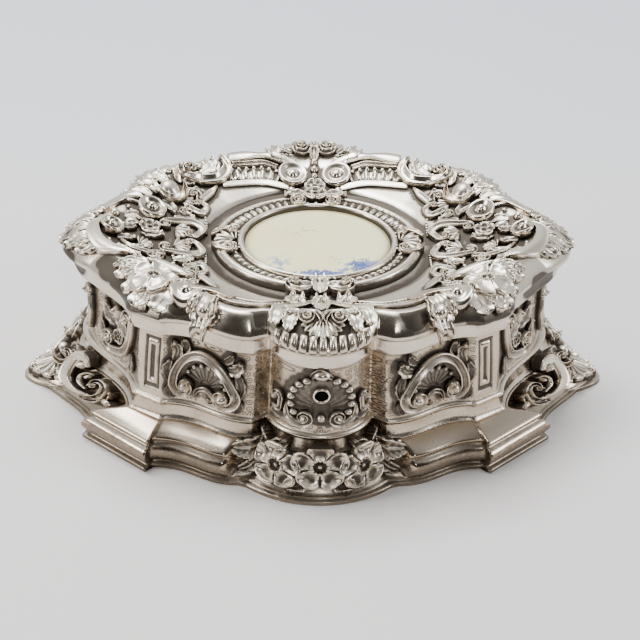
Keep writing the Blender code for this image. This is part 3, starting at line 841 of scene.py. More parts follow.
def border_height(x, y):
    """Height of the lid's sheet at x and y."""
    cell = (np.stack([x, y], axis=-1) - sheet_relief.low) / sheet_relief.pitch
    return bilinear(border_heights, cell - 0.5)


# heights are kept to this share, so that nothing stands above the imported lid
LID_RISE = 0.63
lid_top = top_ground(border_height, LID_RISE)
scrolls, growth, rocaille = Pile(), Pile(), Pile()


def arc_path(points, steps=10):
    """A smooth flat path through a few points."""
    return through(np.array(points, float), steps)


def course(points, count):
    """The same path at equal steps, which a moulding needs."""
    return resample(arc_path(points), count)


print("the lid's border at 0, 55 is", round(float(border_height(0.0, 55.0)), 1), "mm high")

# %% Broad bands and their volutes, back and front
for side in BACK:
    sweep(scrolls, lid_top, course([(7.5, 56.6), (13, 58.9), (25, 61.0), (37.5, 58.4)], 60),
          np.linspace(1.2, 3.1, 60), FLAT, 3.6, side)
    drum(scrolls, lid_top, (9.4, 51.4), 6.4, 5.6, side, (0.0, -0.05))
    sweep(scrolls, lid_top, course([(16, 56.0), (25, 57.2), (36, 55.2)], 34), 0.45, ROUND, 2.6, side)
    sweep(scrolls, lid_top, course([(16.5, 54.9), (25, 55.9), (36, 54.0)], 34), 0.45, ROUND, 2.1, side)
    strip(scrolls, lid_top, arc_path([(15.5, 50.3), (25, 51.4), (38, 49.2)]), 2.6, 2.2, 3.6, side,
          deep=0.85, sharp=1.6)
    beads(scrolls, lid_top, arc_path([(16.5, 53.4), (25, 54.4), (36, 52.2)]), 0.9, 3.6, side, 1.2)
    sweep(scrolls, lid_top, course([(11, 44.4), (24, 46.4), (40, 42.6)], 40), 1.5, FLAT, 1.9, side)
    dome(scrolls, lid_top, (10, 43.0), 1.9, 3.0, side, 6, 14)
    scroll(scrolls, lid_top, [(41.5, 58), (37.8, 51.5), (41.5, 44.6), (49, 42.6)], 2.3, 5.0,
           tail=((55, 47.5), 4.0, 1.1, 1), mirror=side, section=HOLLOW)
    leaf(growth, lid_top, [(50, 47), (46, 51), (46.5, 57)], 4.2, 4.5, side, 4, 0.6)
    leaf(growth, lid_top, [(44, 46.5), (43.5, 51), (47, 55)], 2.6, 3.6, side, 3, 0.6)

for side in FRONT:
    # a narrow bevelled band with inner ribs between the hanging leaf and the centre
    sweep(scrolls, lid_top, course([(2, 46.5), (12, 53.0), (24, 57.0), (36, 55.0), (42, 50.5)], 54),
          1.7, FLAT, 3.0, side)
    sweep(scrolls, lid_top, course([(13, 50.2), (24, 53.6), (36, 51.6)], 40), 0.55, ROUND, 2.4, side)
    strip(scrolls, lid_top, arc_path([(14, 48.3), (24, 51.4), (36, 49.5)]), 0.9, 1.8, 1.6, side, 0.7)
    sweep(scrolls, lid_top, course([(13.5, 46.2), (24, 49.0), (37, 46.6)], 40), 0.7, ROUND, 1.8, side)
    sweep(scrolls, lid_top, course([(36.5, 51.5), (40.5, 47.6), (47, 45.2), (55, 44.6)], 50),
          np.linspace(3.0, 3.8, 50), FLAT, 4.6, side)
    drum(scrolls, lid_top, (54.5, 48.9), 6.8, 6.2, side)
    leaf(growth, lid_top, [(7.5, 51.5), (10.2, 47.5), (9.0, 42.5)], 4.6, 5.0, side, 3, 0.9)
    dome(growth, lid_top, (9.6, 46.4), 2.4, 5.8, side, 6, 12)
print("bands and volutes:", scrolls.count, "points")

# %% Buds, drums and end discs
for side in BACK:
    drum(scrolls, lid_top, (85.4, 0.9), 4.8, 8.2, side, (0.05, -0.15))
for side in FRONT:
    # the broad band that wraps the end from the disc and down the rim
    around_end = [(88.0, -5.5), (92.8, -1.0), (93.2, 6.5), (90.0, 14.0), (84, 19.0), (77.5, 21.5)]
    scroll(scrolls, lid_top, around_end, 3.0, 5.0, mirror=side, section=FLAT)
for side in BACK:
    drum(scrolls, lid_top, (69.4, 17.5), 6.0, 8.4, side, (0.0, -0.12))
    scroll(scrolls, lid_top, [(73.5, 24.0), (80.5, 24.5), (87.0, 19.0), (90.0, 12.0)], 2.8, 4.4,
           mirror=side, section=FLAT)
    sweep(scrolls, lid_top, course([(74.5, 21.0), (81, 21.4), (86.5, 17.6)], 24), 0.8, ROUND, 3.0, side)
    dome(growth, lid_top, (85.0, 12.8), 2.1, 3.6, side, 6, 12)
    dome(growth, lid_top, (62.2, 33.0), 5.0, 8.8, side, 12, 24)
    scroll(growth, lid_top, [(56.4, 38.5), (56.0, 31.0), (62, 26.6), (68.0, 30.5)], 1.7, 6.4, mirror=side)
    leaf(growth, lid_top, [(66, 30), (72, 34), (77, 33)], 3.4, 4.6, side, 4)
    leaf(growth, lid_top, [(64, 38), (68, 42), (69.5, 46)], 3.4, 4.6, side, 4)
    leaf(growth, lid_top, [(58, 40), (58, 45), (55, 50)], 3.4, 4.4, side, 4)
    leaf(growth, lid_top, [(70, 27), (75, 29), (81, 27)], 2.8, 4.0, side, 4)
    flower(growth, lid_top, (72.5, 38.0), 5.2, 4.2, side, 5, 0.4)
    flower(growth, lid_top, (53.5, 51.2), 4.6, 4.4, side, 5, 0.9)
for side in FRONT:
    flower(growth, lid_top, (67.3, 40.4), 10.0, 5.6, side, 5, 0.5, (0.02, -0.10), 0.6, lift=2.6)
    scroll(growth, lid_top, [(70.5, 28.5), (64, 28.0), (57.5, 31.0), (54, 36.0)], 4.0, 7.6,
           mirror=side, section=ROUND)
    leaf(growth, lid_top, [(59.5, 39.0), (56, 39.8), (50.5, 39.0)], 2.6, 6.0, side, 5, 0.1)
    leaf(growth, lid_top, [(73, 33), (76, 30), (80, 30)], 3.2, 4.8, side, 4)
    flower(growth, lid_top, (76.5, 28.5), 4.6, 4.4, side, 5, 0.1)
    leaf(growth, lid_top, [(68, 30), (72, 26), (77, 24.5)], 3.0, 4.4, side, 4)
    leaf(growth, lid_top, [(70, 46), (72, 50), (71, 54)], 3.4, 4.0, side, 4)
print("flowers and leaves:", growth.count, "points")

# %% Rocailles between the ends and the plain field
for side in QUARTERS:
    scroll(rocaille, lid_top, [(49.5, 29.5), (45.8, 34.5), (42.2, 40.2)], 1.6, 3.2,
           head=((52.8, 33.2), 3.0, 1.1, -1), mirror=side)
    scroll(rocaille, lid_top, [(55, 24.0), (49, 20.4), (46.6, 25.0)], 1.6, 3.2,
           head=((56.2, 20.0), 2.6, 1.1, 1), tail=((50.2, 26.6), 2.0, 1.0, -1), mirror=side)
    scroll(rocaille, lid_top, [(61, 12.0), (53, 12.8), (48.2, 9.2), (50, 4.0)], 1.9, 3.6,
           head=((63.2, 8.8), 2.8, 1.1, -1), tail=((53.4, 3.8), 2.4, 1.0, 1), mirror=side)
    beads(rocaille, lid_top, arc_path([(45.0, 37.5), (48.5, 27.5), (46.8, 17.5), (46.6, 8)]),
          0.65, 1.9, side, 0.3)
    shell(rocaille, lid_top, (58.5, 27.5), 160, 7.2, 120, 6, 3.0, side)
    shell(rocaille, lid_top, (60.5, 6.8), 195, 7.6, 130, 6, 3.4, side)
    leaf(rocaille, lid_top, [(60, 17), (56, 17.4), (51.5, 15.4)], 2.8, 3.6, side, 3)
    leaf(rocaille, lid_top, [(58, 29), (55, 33.5), (49.5, 37.5)], 2.8, 3.4, side, 4)
    beads(rocaille, lid_top, arc_path([(63, 23.5), (59.5, 19.8), (60.2, 14.5)]), 0.9, 2.1, side, 1.0)
    leaf(rocaille, lid_top, [(81, 11.5), (76, 12.6), (71, 10.6)], 2.4, 3.8, side, 4)
    leaf(rocaille, lid_top, [(83.5, 5.0), (80, 4.2), (75.6, 4.8)], 2.0, 3.8, side, 3)
for side in FRONT:
    scroll(rocaille, lid_top, [(82.0, 8.5), (77, 14.0), (70.5, 15.8), (63.5, 14.5)], 1.4, 4.0,
           tail=((66.4, 19.2), 4.2, 1.1, 1), mirror=side)
    leaf(rocaille, lid_top, [(84, 12), (80, 17.5), (73, 21)], 2.8, 3.8, side, 5)
    shell(rocaille, lid_top, (74.5, 8.6), 210, 6.2, 150, 7, 4.2, side)
    beads(rocaille, lid_top, arc_path([(86.5, 8.0), (85.5, 13.0), (82, 17.0)]), 0.8, 2.1, side, 1.2)
for side in BACK:
    flower(rocaille, lid_top, (70.2, 6.2), 4.7, 5.0, side, 5, 0.2)
    leaf(rocaille, lid_top, [(74, 3.0), (69.5, 0.8), (64, 0.6)], 2.6, 4.6, side, 4)
    dome(rocaille, lid_top, (77.6, 8.0), 2.5, 4.8, side, 7, 14, stretch=(1.4, 0.9))
    leaf(rocaille, lid_top, [(66, 25), (62, 22.6), (60, 18)], 2.6, 4.0, side, 4)
    leaf(rocaille, lid_top, [(48, 46), (53, 42.6), (56, 38.5)], 2.8, 4.0, side, 4)
    beads(rocaille, lid_top, arc_path([(79.5, 18.0), (76.5, 13.8), (74.2, 10.5)]), 0.9, 2.2, side, 1.0)
print("rocailles:", rocaille.count, "points")

# %% The middle of the back and of the front
flower(growth, lid_top, (0, 44.6), 4.7, 4.6, petals=6)
for x, y, radius in ((0, 52.0, 1.6), (0, 55.6, 1.9), (0, 59.8, 1.6), (4.4, 40.2, 1.4), (-4.4, 40.2, 1.4)):
    dome(growth, lid_top, (x, y), radius, radius * 1.9, rows=6, columns=12)
leaf(growth, lid_top, [(0, -56.5), (0, -50), (0, -43.0)], 4.2, 5.2, lobes=5, curl=0.7)
dome(growth, lid_top, (0, -46.8), 2.2, 6.6, rows=6, columns=12)
print("with both middles:", growth.count, "points")

# %% [markdown]
# ## The hanging skirt
# Over the edge of the lid hang leaf knobs, a fan shell with gadroons on each bow and
# crumpled leaves at the ends. They fold with the sheet, so their ground is the lid's own
# skin round the crest: across runs round the lid, up runs towards its middle.

# %% Leaves, shells and gadroons over the lid's edge
def column_at(outline, x, y):
    """The outline's point nearest to x and y."""
    return int(np.argmin(np.hypot(outline[:, 0] - x, outline[:, 1] - y)))


def each_quarter(skin, outline, row, x, y):
    """The same spot's ground in all four quarters, with the turn of its across axis."""
    return [(skin.patch(row, column_at(outline, sx * x, sy * y)), (sx * sy, 1), (sx, sy))
            for sx, sy in QUARTERS]


rim = Pile()
crest_plan = PLAN["crest"]
for side in (1, -1):
    ground = lid_skin.patch(BORDER_ROWS, column_at(crest_plan, 0, side * 67.5))
    shell(rim, ground, (0, 1.5), -90, 11.5, 118, 9, 2.0, inner=0.2, dish=0.25)
    for way in (1, -1):
        mirror = (way, 1)
        scroll(rim, ground, [(1.2, -4.0), (1.0, -1.0), (3.6, 3.0), (8, 2.4)], 1.2, 2.6,
               tail=((5.8, -0.6), 3.5, 1.2, -1), mirror=mirror)
        leaf(rim, ground, [(9.5, 2.5), (12.5, -2), (13.0, -8.5)], 3.4, 2.4, mirror, 4, 0.5)
        leaf(rim, ground, [(14, 3.5), (18.0, 0.5), (18.5, -8.0)], 3.6, 3.0, mirror, 4, 0.7)
        leaf(rim, ground, [(9, 5), (13, 5.5), (17, 3.5)], 2.4, 2.4, mirror, 3)
        dome(rim, ground, (14.2, 0.5), 1.8, 3.2, mirror, 6, 12)
    for step in np.arange(-5, 6):
        gadroon = np.array([(step * 3.5, -8.5), (step * 3.6, -12.5), (step * 3.7, -15.8)])
        sweep(rim, ground, resample(gadroon, 10), 1.5, ROUND, 1.5 * np.sin(np.linspace(0.7, 2.9, 10)))
    leaf(rim, ground, [(0, 7.5), (0, 3.0), (0, -1.0)], 2.6, 3.2, lobes=3, curl=0.4)
print("bow shells:", rim.count, "points")

# %% Crumpled leaves on the flanks, corners and ends
for ground, mirror, (sx, sy) in each_quarter(lid_skin, crest_plan, BORDER_ROWS, 46.6, 55.0):
    if sy < 0:
        leaf(rim, ground, [(0, 3), (0.4, -5), (0, -14.0)], 5.0, 3.6, mirror, 4, 0.9, rows=36)
        dome(rim, ground, (0.3, -5.0), 3.2, 4.6, mirror, 7, 14)
        leaf(rim, ground, [(-3, 2), (-4.2, -3), (-4.0, -8)], 2.2, 3.6, mirror, 3, 0.6)
        leaf(rim, ground, [(3, 2), (4.4, -3), (4.2, -8)], 2.2, 3.6, mirror, 3, 0.6)
    else:
        leaf(rim, ground, [(0, 2), (0, -4), (0, -10)], 4.0, 2.4, mirror, 4, 0.6)
CORNER_LEAVES = [(62, 49.0, 10, 5.0), (68.5, 44.5, 11, 5.4), (73.5, 37.5, 10, 4.8), (78.5, 31.5, 8, 4.0)]
for x, y, reach, width in CORNER_LEAVES:
    for ground, mirror, (sx, sy) in each_quarter(lid_skin, crest_plan, BORDER_ROWS, x, y):
        leaf(rim, ground, [(0, 2.5), (0.6, -2.5), (0, -reach)], width, 2.2, mirror, 3, 0.8)
        leaf(rim, ground, [(-2.5, 2), (-4.6, -1.5), (-4.8, -0.65 * reach)], width * 0.5, 1.9, mirror, 3, 0.5)
for x, y, reach in ((96.5, 0.0, 13), (95.0, 7.0, 11), (91.5, 12.5, 9)):
    for ground, mirror, (sx, sy) in each_quarter(lid_skin, crest_plan, BORDER_ROWS, x, y):
        if y > 0 or sy > 0:
            leaf(rim, ground, [(0, 1.5), (0, -3), (0, -reach)], 4.0, 2.2, mirror, 4, 0.7, rows=34)
            leaf(rim, ground, [(2.5, 1.5), (3.8, -3), (3.4, -0.75 * reach)], 1.8, 2.2, mirror, 3, 0.5)
print("hanging leaves:", rim.count, "points")

# %% [markdown]
# ## The chased walls
# Each flank carries an arched C-scroll over a beaded shell, with acanthus in its upper
# corners; the bow has a cartouche round the keyhole. The scrolls stand two to three
# millimetres off the wall, as high as chasing from behind can push them.

# %% Panels on the flanks and ends
wall_work = Pile()
top_plan = PLAN["top"]


def wall_row(height):
    """Row of the wall at a height."""
    return (BODY_TOP - height) / (BODY_TOP - WALL_BOTTOM) * (WALL_ROWS - 1)


PANEL_HEART = 40.0
for ground, mirror, side in each_quarter(wall_skin, top_plan, wall_row(PANEL_HEART), 45.0, 57.5):
    scroll(wall_work, ground, [(-13.2, 1.2), (-9.5, 7.2), (-2.5, 10.6), (5.0, 9.2), (11.0, 4.0)], 2.0, 3.0,
           head=((-8.8, -4.6), 5.4, 1.15, 1), tail=((9.6, -5.2), 5.8, 1.15, -1), mirror=mirror, eye=0.5)
    dome(wall_work, ground, (-8.4, -5.6), 3.0, 3.8, mirror, 7, 16)
    dome(wall_work, ground, (9.8, -6.4), 3.1, 3.8, mirror, 7, 16)
    scroll(wall_work, ground, [(-3.8, -10.0), (-3.0, -6.2), (1.0, -4.2), (4.6, -6.2)], 0.9, 2.4,
           tail=((3.4, -8.4), 1.8, 0.8, -1), mirror=mirror)
    shell(wall_work, ground, (0.6, -4.0), 88, 10.4, 150, 9, 1.2, mirror, inner=0.3, dish=0.35)
    angle = np.radians(np.linspace(15, 168, 24))
    beads(wall_work, ground, np.stack([0.6 + 9.8 * np.cos(angle), -4.0 + 9.8 * np.sin(angle)], axis=1),
          1.1, 3.5, mirror, 0.9)
    leaf(wall_work, ground, [(-13.5, 5.5), (-12.4, 11.0), (-15.2, 15.0)], 2.6, 3.0, mirror, 4, 0.8)
    leaf(wall_work, ground, [(-11.5, 9.0), (-8.8, 13.0), (-11.0, 16.0)], 2.2, 2.4, mirror, 3, 0.6)
    leaf(wall_work, ground, [(-15.6, -3.0), (-16.8, 2.0), (-15.2, 6.5)], 2.0, 2.2, mirror, 4, 0.5)
    leaf(wall_work, ground, [(11.0, 8.0), (14.5, 9.0), (16.5, 13.2)], 2.8, 3.0, mirror, 4, 0.9)
    leaf(wall_work, ground, [(15.2, 6.5), (16.6, 1.5), (16.2, -4.0)], 2.2, 2.2, mirror, 4, 0.5)
    leaf(wall_work, ground, [(9.0, 11.0), (12.0, 13.5), (12.6, 16.0)], 1.8, 2.2, mirror, 3, 0.6)
    leaf(wall_work, ground, [(14.0, -3.5), (16.2, -8.0), (14.5, -11.5)], 1.8, 1.8, mirror, 3, 0.5)
    leaf(wall_work, ground, [(-14.0, -5.0), (-15.8, -9.0), (-13.0, -11.5)], 1.8, 1.8, mirror, 3, 0.5)
for ground, mirror, side in each_quarter(wall_skin, top_plan, wall_row(PANEL_HEART), 80.5, 31.5):
    scroll(wall_work, ground, [(9.5, 13.5), (8.4, 4.0), (3.0, -4.0), (-5.5, -7.0)], 1.9, 3.0,
           head=((5.2, 12.4), 3.6, 1.1, 1), tail=((-6.6, -2.2), 4.4, 1.2, -1), mirror=mirror)
    leaf(wall_work, ground, [(5.5, 3.0), (1.0, 8.0), (-4.5, 14.0)], 3.6, 3.0, mirror, 5, 0.8)
    leaf(wall_work, ground, [(8.5, -2.0), (10.0, -7.0), (7.0, -11.0)], 2.6, 2.4, mirror, 4, 0.6)
    leaf(wall_work, ground, [(-4.0, 5.0), (-9.0, 8.0), (-12.5, 13.5)], 2.8, 2.6, mirror, 4, 0.7)
    leaf(wall_work, ground, [(-9.0, -6.0), (-12.5, -1.0), (-13.0, 5.0)], 2.2, 2.4, mirror, 4, 0.6)
    flower(wall_work, ground, (-1.0, 1.0), 3.6, 2.8, mirror, 5, 0.3)
for side in (1, -1):
    ground = wall_skin.patch(wall_row(PANEL_HEART), column_at(top_plan, side * 93.4, 0))
    shell(wall_work, ground, (0, -6.0), 90, 14.0, 140, 9, 2.2, inner=0.25, dish=0.2)
    for way in (1, -1):
        scroll(wall_work, ground, [(2.5, -10.5), (8.5, -8.0), (10.5, 0.0), (8.0, 7.0)], 1.4, 2.8,
               tail=((5.0, 7.5), 3.2, 1.1, 1), mirror=(way, 1))
print("wall panels:", wall_work.count, "points")

# %% The cartouche on each bow
KEYHOLE_Z = (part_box("keyhole_barrel")[0][2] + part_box("keyhole_barrel")[1][2]) / 2 / MM
for side in (-1, 1):
    ground = wall_skin.patch(wall_row(KEYHOLE_Z), column_at(top_plan, 0, side * 77.4))
    shell(wall_work, ground, (0, -6.5), 90, 14.5, 235, 15, 1.7, inner=0.30, dish=0.45, scallop=0.08,
          clear=3.6 if side < 0 else None)
    ring_angle = np.radians(np.linspace(-28, 62, 6))
    for way in (1, -1):
        mirror = (way, 1)
        for bearing in ring_angle:
            spot = (12.2 * np.cos(bearing), -3.6 + 11.4 * np.sin(bearing))
            dome(wall_work, ground, spot, 1.9, 2.5, mirror, 6, 12, 0.4, (1.0, 0.8))
        scroll(wall_work, ground, [(13.6, -5.5), (13.0, -11.0), (8.0, -13.8)], 1.1, 2.6,
               tail=((6.6, -10.2), 3.3, 1.2, -1), mirror=mirror)
        scroll(wall_work, ground, [(21.5, -9.5), (17.5, -10.5), (16.6, -6.0)], 1.0, 2.4,
               tail=((18.8, -4.4), 2.6, 1.0, -1), mirror=mirror)
        leaf(wall_work, ground, [(15.0, -12.0), (18.0, -13.5), (22.0, -12.0)], 1.8, 2.0, mirror, 3, 0.5)
    dome(wall_work, ground, (0, -10.6), 1.9, 3.0)
    dome(wall_work, ground, (0, 9.4), 2.9, 3.6, rows=6, columns=12, stretch=(1.25, 0.85))
    leaf(wall_work, ground, [(-4.5, 8.0), (-1.0, 11.0), (4.5, 8.0)], 1.5, 2.6, lobes=3, curl=0.1)
print("with cartouches:", wall_work.count, "points")

# %% Keyhole barrel
keyhole = Pile()
low_k, high_k = (np.array(corner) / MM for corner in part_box("keyhole_barrel"))
mouth, root = low_k[1], high_k[1]
RING, BORE = 3.6, 2.7
blind_end = min(mouth + 6.0, root - 0.3)
barrel = [(0.2, blind_end), (BORE, blind_end), (BORE, mouth + 0.35), (BORE + 0.3, mouth),
          (RING - 0.35, mouth), (RING, mouth + 0.4), (RING, root), (0.2, root)]
angle = np.linspace(0, 2 * np.pi, 40, endpoint=False)
barrel_grid = np.stack([np.stack([r * np.cos(angle), np.full(40, y), KEYHOLE_Z + r * np.sin(angle)], axis=1)
                        for r, y in barrel])
keyhole.add(barrel_grid)
print("keyhole from", round(mouth, 1), "to", round(root, 1))

# %% [markdown]
# ## Castings on the foot
# Three open flowers among leaves lie on the front and back slopes, and a ribbed shell
# between C-scrolls on each end. They are cast separately and soldered on, so they stand
# higher than anything chased; the slope of the foot is their ground.

# %% Garlands of flowers
RAMP = [(0.13, 23.5), (0.16, 20.6), (0.22, PLINTH_TOP)]
RAMP += [(way, cove_height(way)) for way in (0.32, 0.42, 0.52, 0.62, 0.72, 0.84)]
RAMP += [(0.96, 2.7), (1.06, 2.6)]
RAMP_STEPS = 4
rim_plan = PLAN["rim"]
ramp = Skin([level(mix(PLAN["foot"], rim_plan, way), height) for way, height in through(RAMP, RAMP_STEPS)],
            hold=16)


def ramp_row(way):
    """Row of the ramp at a share of the way from the foot to the rim."""
    return np.interp(way, [stop[0] for stop in RAMP], np.arange(len(RAMP))) * RAMP_STEPS


GARLAND_LEAVES = [([(24, 3), (32, 5), (41, 4.6)], 5.6), ([(23, 6), (27, 10.0), (31, 13.0)], 3.6),
                  ([(25, -1), (31, -3.2), (37, -5.0)], 4.6), ([(5.5, -2), (9.5, -5.8), (13.0, -8.0)], 4.6),
                  ([(20, 8), (16, 11.5), (13, 13.0)], 3.0)]
garlands = {}
for name, side in (("garland_front", -1), ("garland_back", 1)):
    pile = garlands[name] = Pile()
    ground = ramp.patch(ramp_row(0.46), column_at(rim_plan, 0, side * 91.3))
    for way in (1, -1):
        mirror = (way, 1)
        for path, width in GARLAND_LEAVES:
            leaf(pile, ground, path, width, 4.2, mirror, 7, 0.2, 0.4, depth=0.14, rows=40)
        flower(pile, ground, (17.4, 1.4), 10.6, 5.4, mirror, 5, 0.3, (0.03, 0.0), 0.6, lift=0.8)
    flower(pile, ground, (0, 4.0), 11.2, 6.0, (1, 1), 5, np.pi / 2, (0, 0.07), 0.6, lift=0.5)
    print(name, pile.count, "points")

# %% Shells and scrolls on the ends
mounts = {}
for name, side in (("end_mount_left", -1), ("end_mount_right", 1)):
    pile = mounts[name] = Pile()
    ground = ramp.patch(ramp_row(0.52), column_at(rim_plan, side * 124.5, 0))
    shell(pile, ground, (0, 5.0), -90, 17.0, 125, 9, 3.6, inner=0.14, dish=0.35)
    bearing = np.radians(np.linspace(-146, -34, 7))
    for spot in np.stack([16.2 * np.cos(bearing), 5.0 + 16.4 * np.sin(bearing)], axis=1):
        dome(pile, ground, spot, 2.7, 3.8, rows=6, columns=12)
    dome(pile, ground, (0, 6.5), 2.6, 5.0, rows=6, columns=14)
    for way in (1, -1):
        mirror = (way, 1)
        big = course([(20.5, 14.0), (17.0, 17.0), (12.8, 15.0), (12.0, 8.5), (14.5, 1.5), (20, -3.0),
                      (27, -3.8), (34, -0.5)], 70)
        swell = np.sin(np.pi * np.linspace(0.08, 0.93, 70)) ** 0.7
        sweep(pile, ground, big, 3.5 * swell, FLAT, 5.2, mirror)
        sweep(pile, ground, big[22:64] + (1.6, 2.2), 0.8, ROUND, 6.2, mirror)
        dome(pile, ground, (17.4, 12.2), 3.0, 7.6, mirror, 8, 16)
        sweep(pile, ground, course([(26, 12.0), (22.5, 10.5), (20.5, 6.5), (23, 2.6), (29, 1.8)], 36),
              1.5 * np.sin(np.pi * np.linspace(0.1, 0.9, 36)), ROUND, 5.0, mirror)
        dome(pile, ground, (24.6, 9.0), 2.0, 6.6, mirror, 7, 14)
        scroll(pile, ground, [(34.5, -1.0), (38.0, 3.5), (36.5, 9.5)], 2.3, 5.4,
               tail=((31.5, 8.5), 3.4, 1.0, 1), mirror=mirror, section=HOLLOW)
        leaf(pile, ground, [(38.5, 5.0), (36.5, -1.5), (31.0, -6.0)], 3.4, 5.4, mirror, 4, 0.3, 0.8)
        leaf(pile, ground, [(36.0, 1.5), (40.5, 5.5), (41.0, 10.5)], 2.6, 5.0, mirror, 4, 0.4)
        dome(pile, ground, (43.0, 3.0), 3.2, 4.8, mirror, 8, 16, 0, (1.25, 0.9))
        leaf(pile, ground, [(6.0, 3.0), (10.0, 1.0), (10.5, -5.5)], 2.2, 4.0, mirror, 4, 0.5)
        scroll(pile, ground, [(1.5, 1.0), (6.5, 2.5), (9.5, 6.5)], 1.3, 4.2,
               tail=((6.8, 9.0), 2.6, 1.0, 1), mirror=mirror)
        leaf(pile, ground, [(3.0, 10.0), (5.5, 13.5), (10.0, 15.0)], 2.2, 3.6, mirror, 4, 0.5)
    print(name, pile.count, "points")

# %% [markdown]
# ## The medallion
# A half-round rim holds the painted plaque. Round it, the upper half has a ribbed band
# with beads, the lower half a plain roll with a twisted band; shells sit at both sides,
# a flower bud with volutes at the top and acanthus at the bottom.

# %% Frame and plaque
medallion, plaque = Pile(), Pile()
PLAQUE_PLAN, FRAME_PLAN, SEAT = np.array([30.4, 26.9]), np.array([44.0, 37.5]), 66.8
OVAL_POINTS = 220
bearing = np.linspace(0, 2 * np.pi, OVAL_POINTS, endpoint=False)
circle = np.stack([np.cos(bearing), np.sin(bearing)], axis=1)
INNER = PLAQUE_PLAN + 0.3


def oval_path(share, start, end, count=90):
    """Points of the oval at a share of the way from the frame's inner to its outer edge."""
    angle = np.radians(np.linspace(start, end, count))
    axes = mix(INNER, FRAME_PLAN, share)
    return np.stack([axes[0] * np.cos(angle), axes[1] * np.sin(angle)], axis=1)


frame_stops = through([(0.0, 0.1), (0.0, 1.8), (0.05, 3.0), (0.13, 3.4), (0.2, 2.8), (0.24, 1.6), (0.3, 1.2),
                       (0.6, 1.1), (0.76, 1.4), (0.82, 2.2), (0.9, 2.4), (0.97, 1.7), (1.0, 0.5),
                       (1.0, 0.1)], 3)
frame_section = np.stack([level(circle * mix(INNER, FRAME_PLAN, way), SEAT + rise)
                          for way, rise in frame_stops])
wrapped = np.transpose(frame_section, (1, 0, 2))
closed = np.concatenate([wrapped, wrapped[:1]])
medallion.add(closed, start_pole=False, end_pole=False)
seat = top_ground(lambda x, y: SEAT + 0.9 + 0 * x)
for way in (1, -1):
    mirror = (way, 1)
    strip(medallion, seat, oval_path(0.50, 12, 74), 2.1, 1.9, 3.2, mirror, 0.9, 0.0, 1.8)
    beads(medallion, seat, oval_path(0.84, 12, 74), 0.8, 3.2, mirror, 0.8)
    strip(medallion, seat, oval_path(0.42, -16, -72), 1.1, 1.7, 3.4, mirror, 0.85, 0.3, 1.2)
    sweep(medallion, seat, oval_path(0.80, -16, -74), 1.9, ROUND, 2.6, mirror)
    dome(medallion, seat, oval_path(0.80, -75, -74)[0], 2.1, 3.0, mirror, 6, 14)
    shell(medallion, seat, (34.2, 0), 0, 9.2, 200, 9, 2.8, mirror, 0.2)
    for height, sense in ((5.6, -1), (-5.6, 1)):
        scroll(medallion, seat, [(44.5, 0.55 * height), (42.0, 1.15 * height), (38.0, 1.5 * height)],
               0.9, 3.0, tail=((36.2, 1.1 * height), 2.4, 1.0, -sense), mirror=mirror)
    beads(medallion, seat, np.array([(33.0, -6.0), (32.6, 0), (33.0, 6.0)]), 0.9, 2.4, mirror, 1.4)
    scroll(medallion, seat, [(1.5, 34.8), (5.0, 35.5), (9.5, 33.6)], 1.0, 3.2,
           tail=((6.6, 30.6), 3.1, 1.2, -1), mirror=mirror)
    leaf(medallion, seat, [(3, 36.5), (8.5, 38.0), (13.5, 35.5)], 2.4, 3.4, mirror, 4, 0.5)
    leaf(medallion, seat, [(2.5, -33.5), (8.0, -35.5), (13.5, -33.5)], 3.0, 3.8, mirror, 4, 0.6)
    scroll(medallion, seat, [(4.0, -38.5), (8.5, -39.5), (12.5, -37.5)], 1.2, 3.6,
           tail=((10.6, -34.6), 2.8, 1.1, 1), mirror=mirror)
    dome(medallion, seat, (3.6, 29.6), 1.3, 2.4, mirror, 5, 10)
dome(medallion, seat, (0, 29.2), 1.5, 2.8)
flower(medallion, seat, (0, 37.6), 5.2, 3.8, (1, 1), 5, np.pi / 2)
leaf(medallion, seat, [(0, -40.0), (0, -34.5), (0, -28.5)], 4.0, 4.0, lobes=4, curl=0.5)
beads(medallion, seat, np.array([(-6.0, -28.6), (0, -29.4), (6.0, -28.6)]), 0.9, 2.4, lift=1.2)
PLAQUE_CROWN = 2.2
plaque_stops = [(0.04, PLAQUE_CROWN), (0.2, 2.17), (0.4, 2.08), (0.6, 1.92), (0.8, 1.66), (0.93, 1.4),
                (1.0, 1.1), (1.0, 0.0)]
plaque.add(np.stack([level(circle * PLAQUE_PLAN * share, SEAT + rise) for share, rise in plaque_stops]))
print("medallion:", medallion.count, "points")
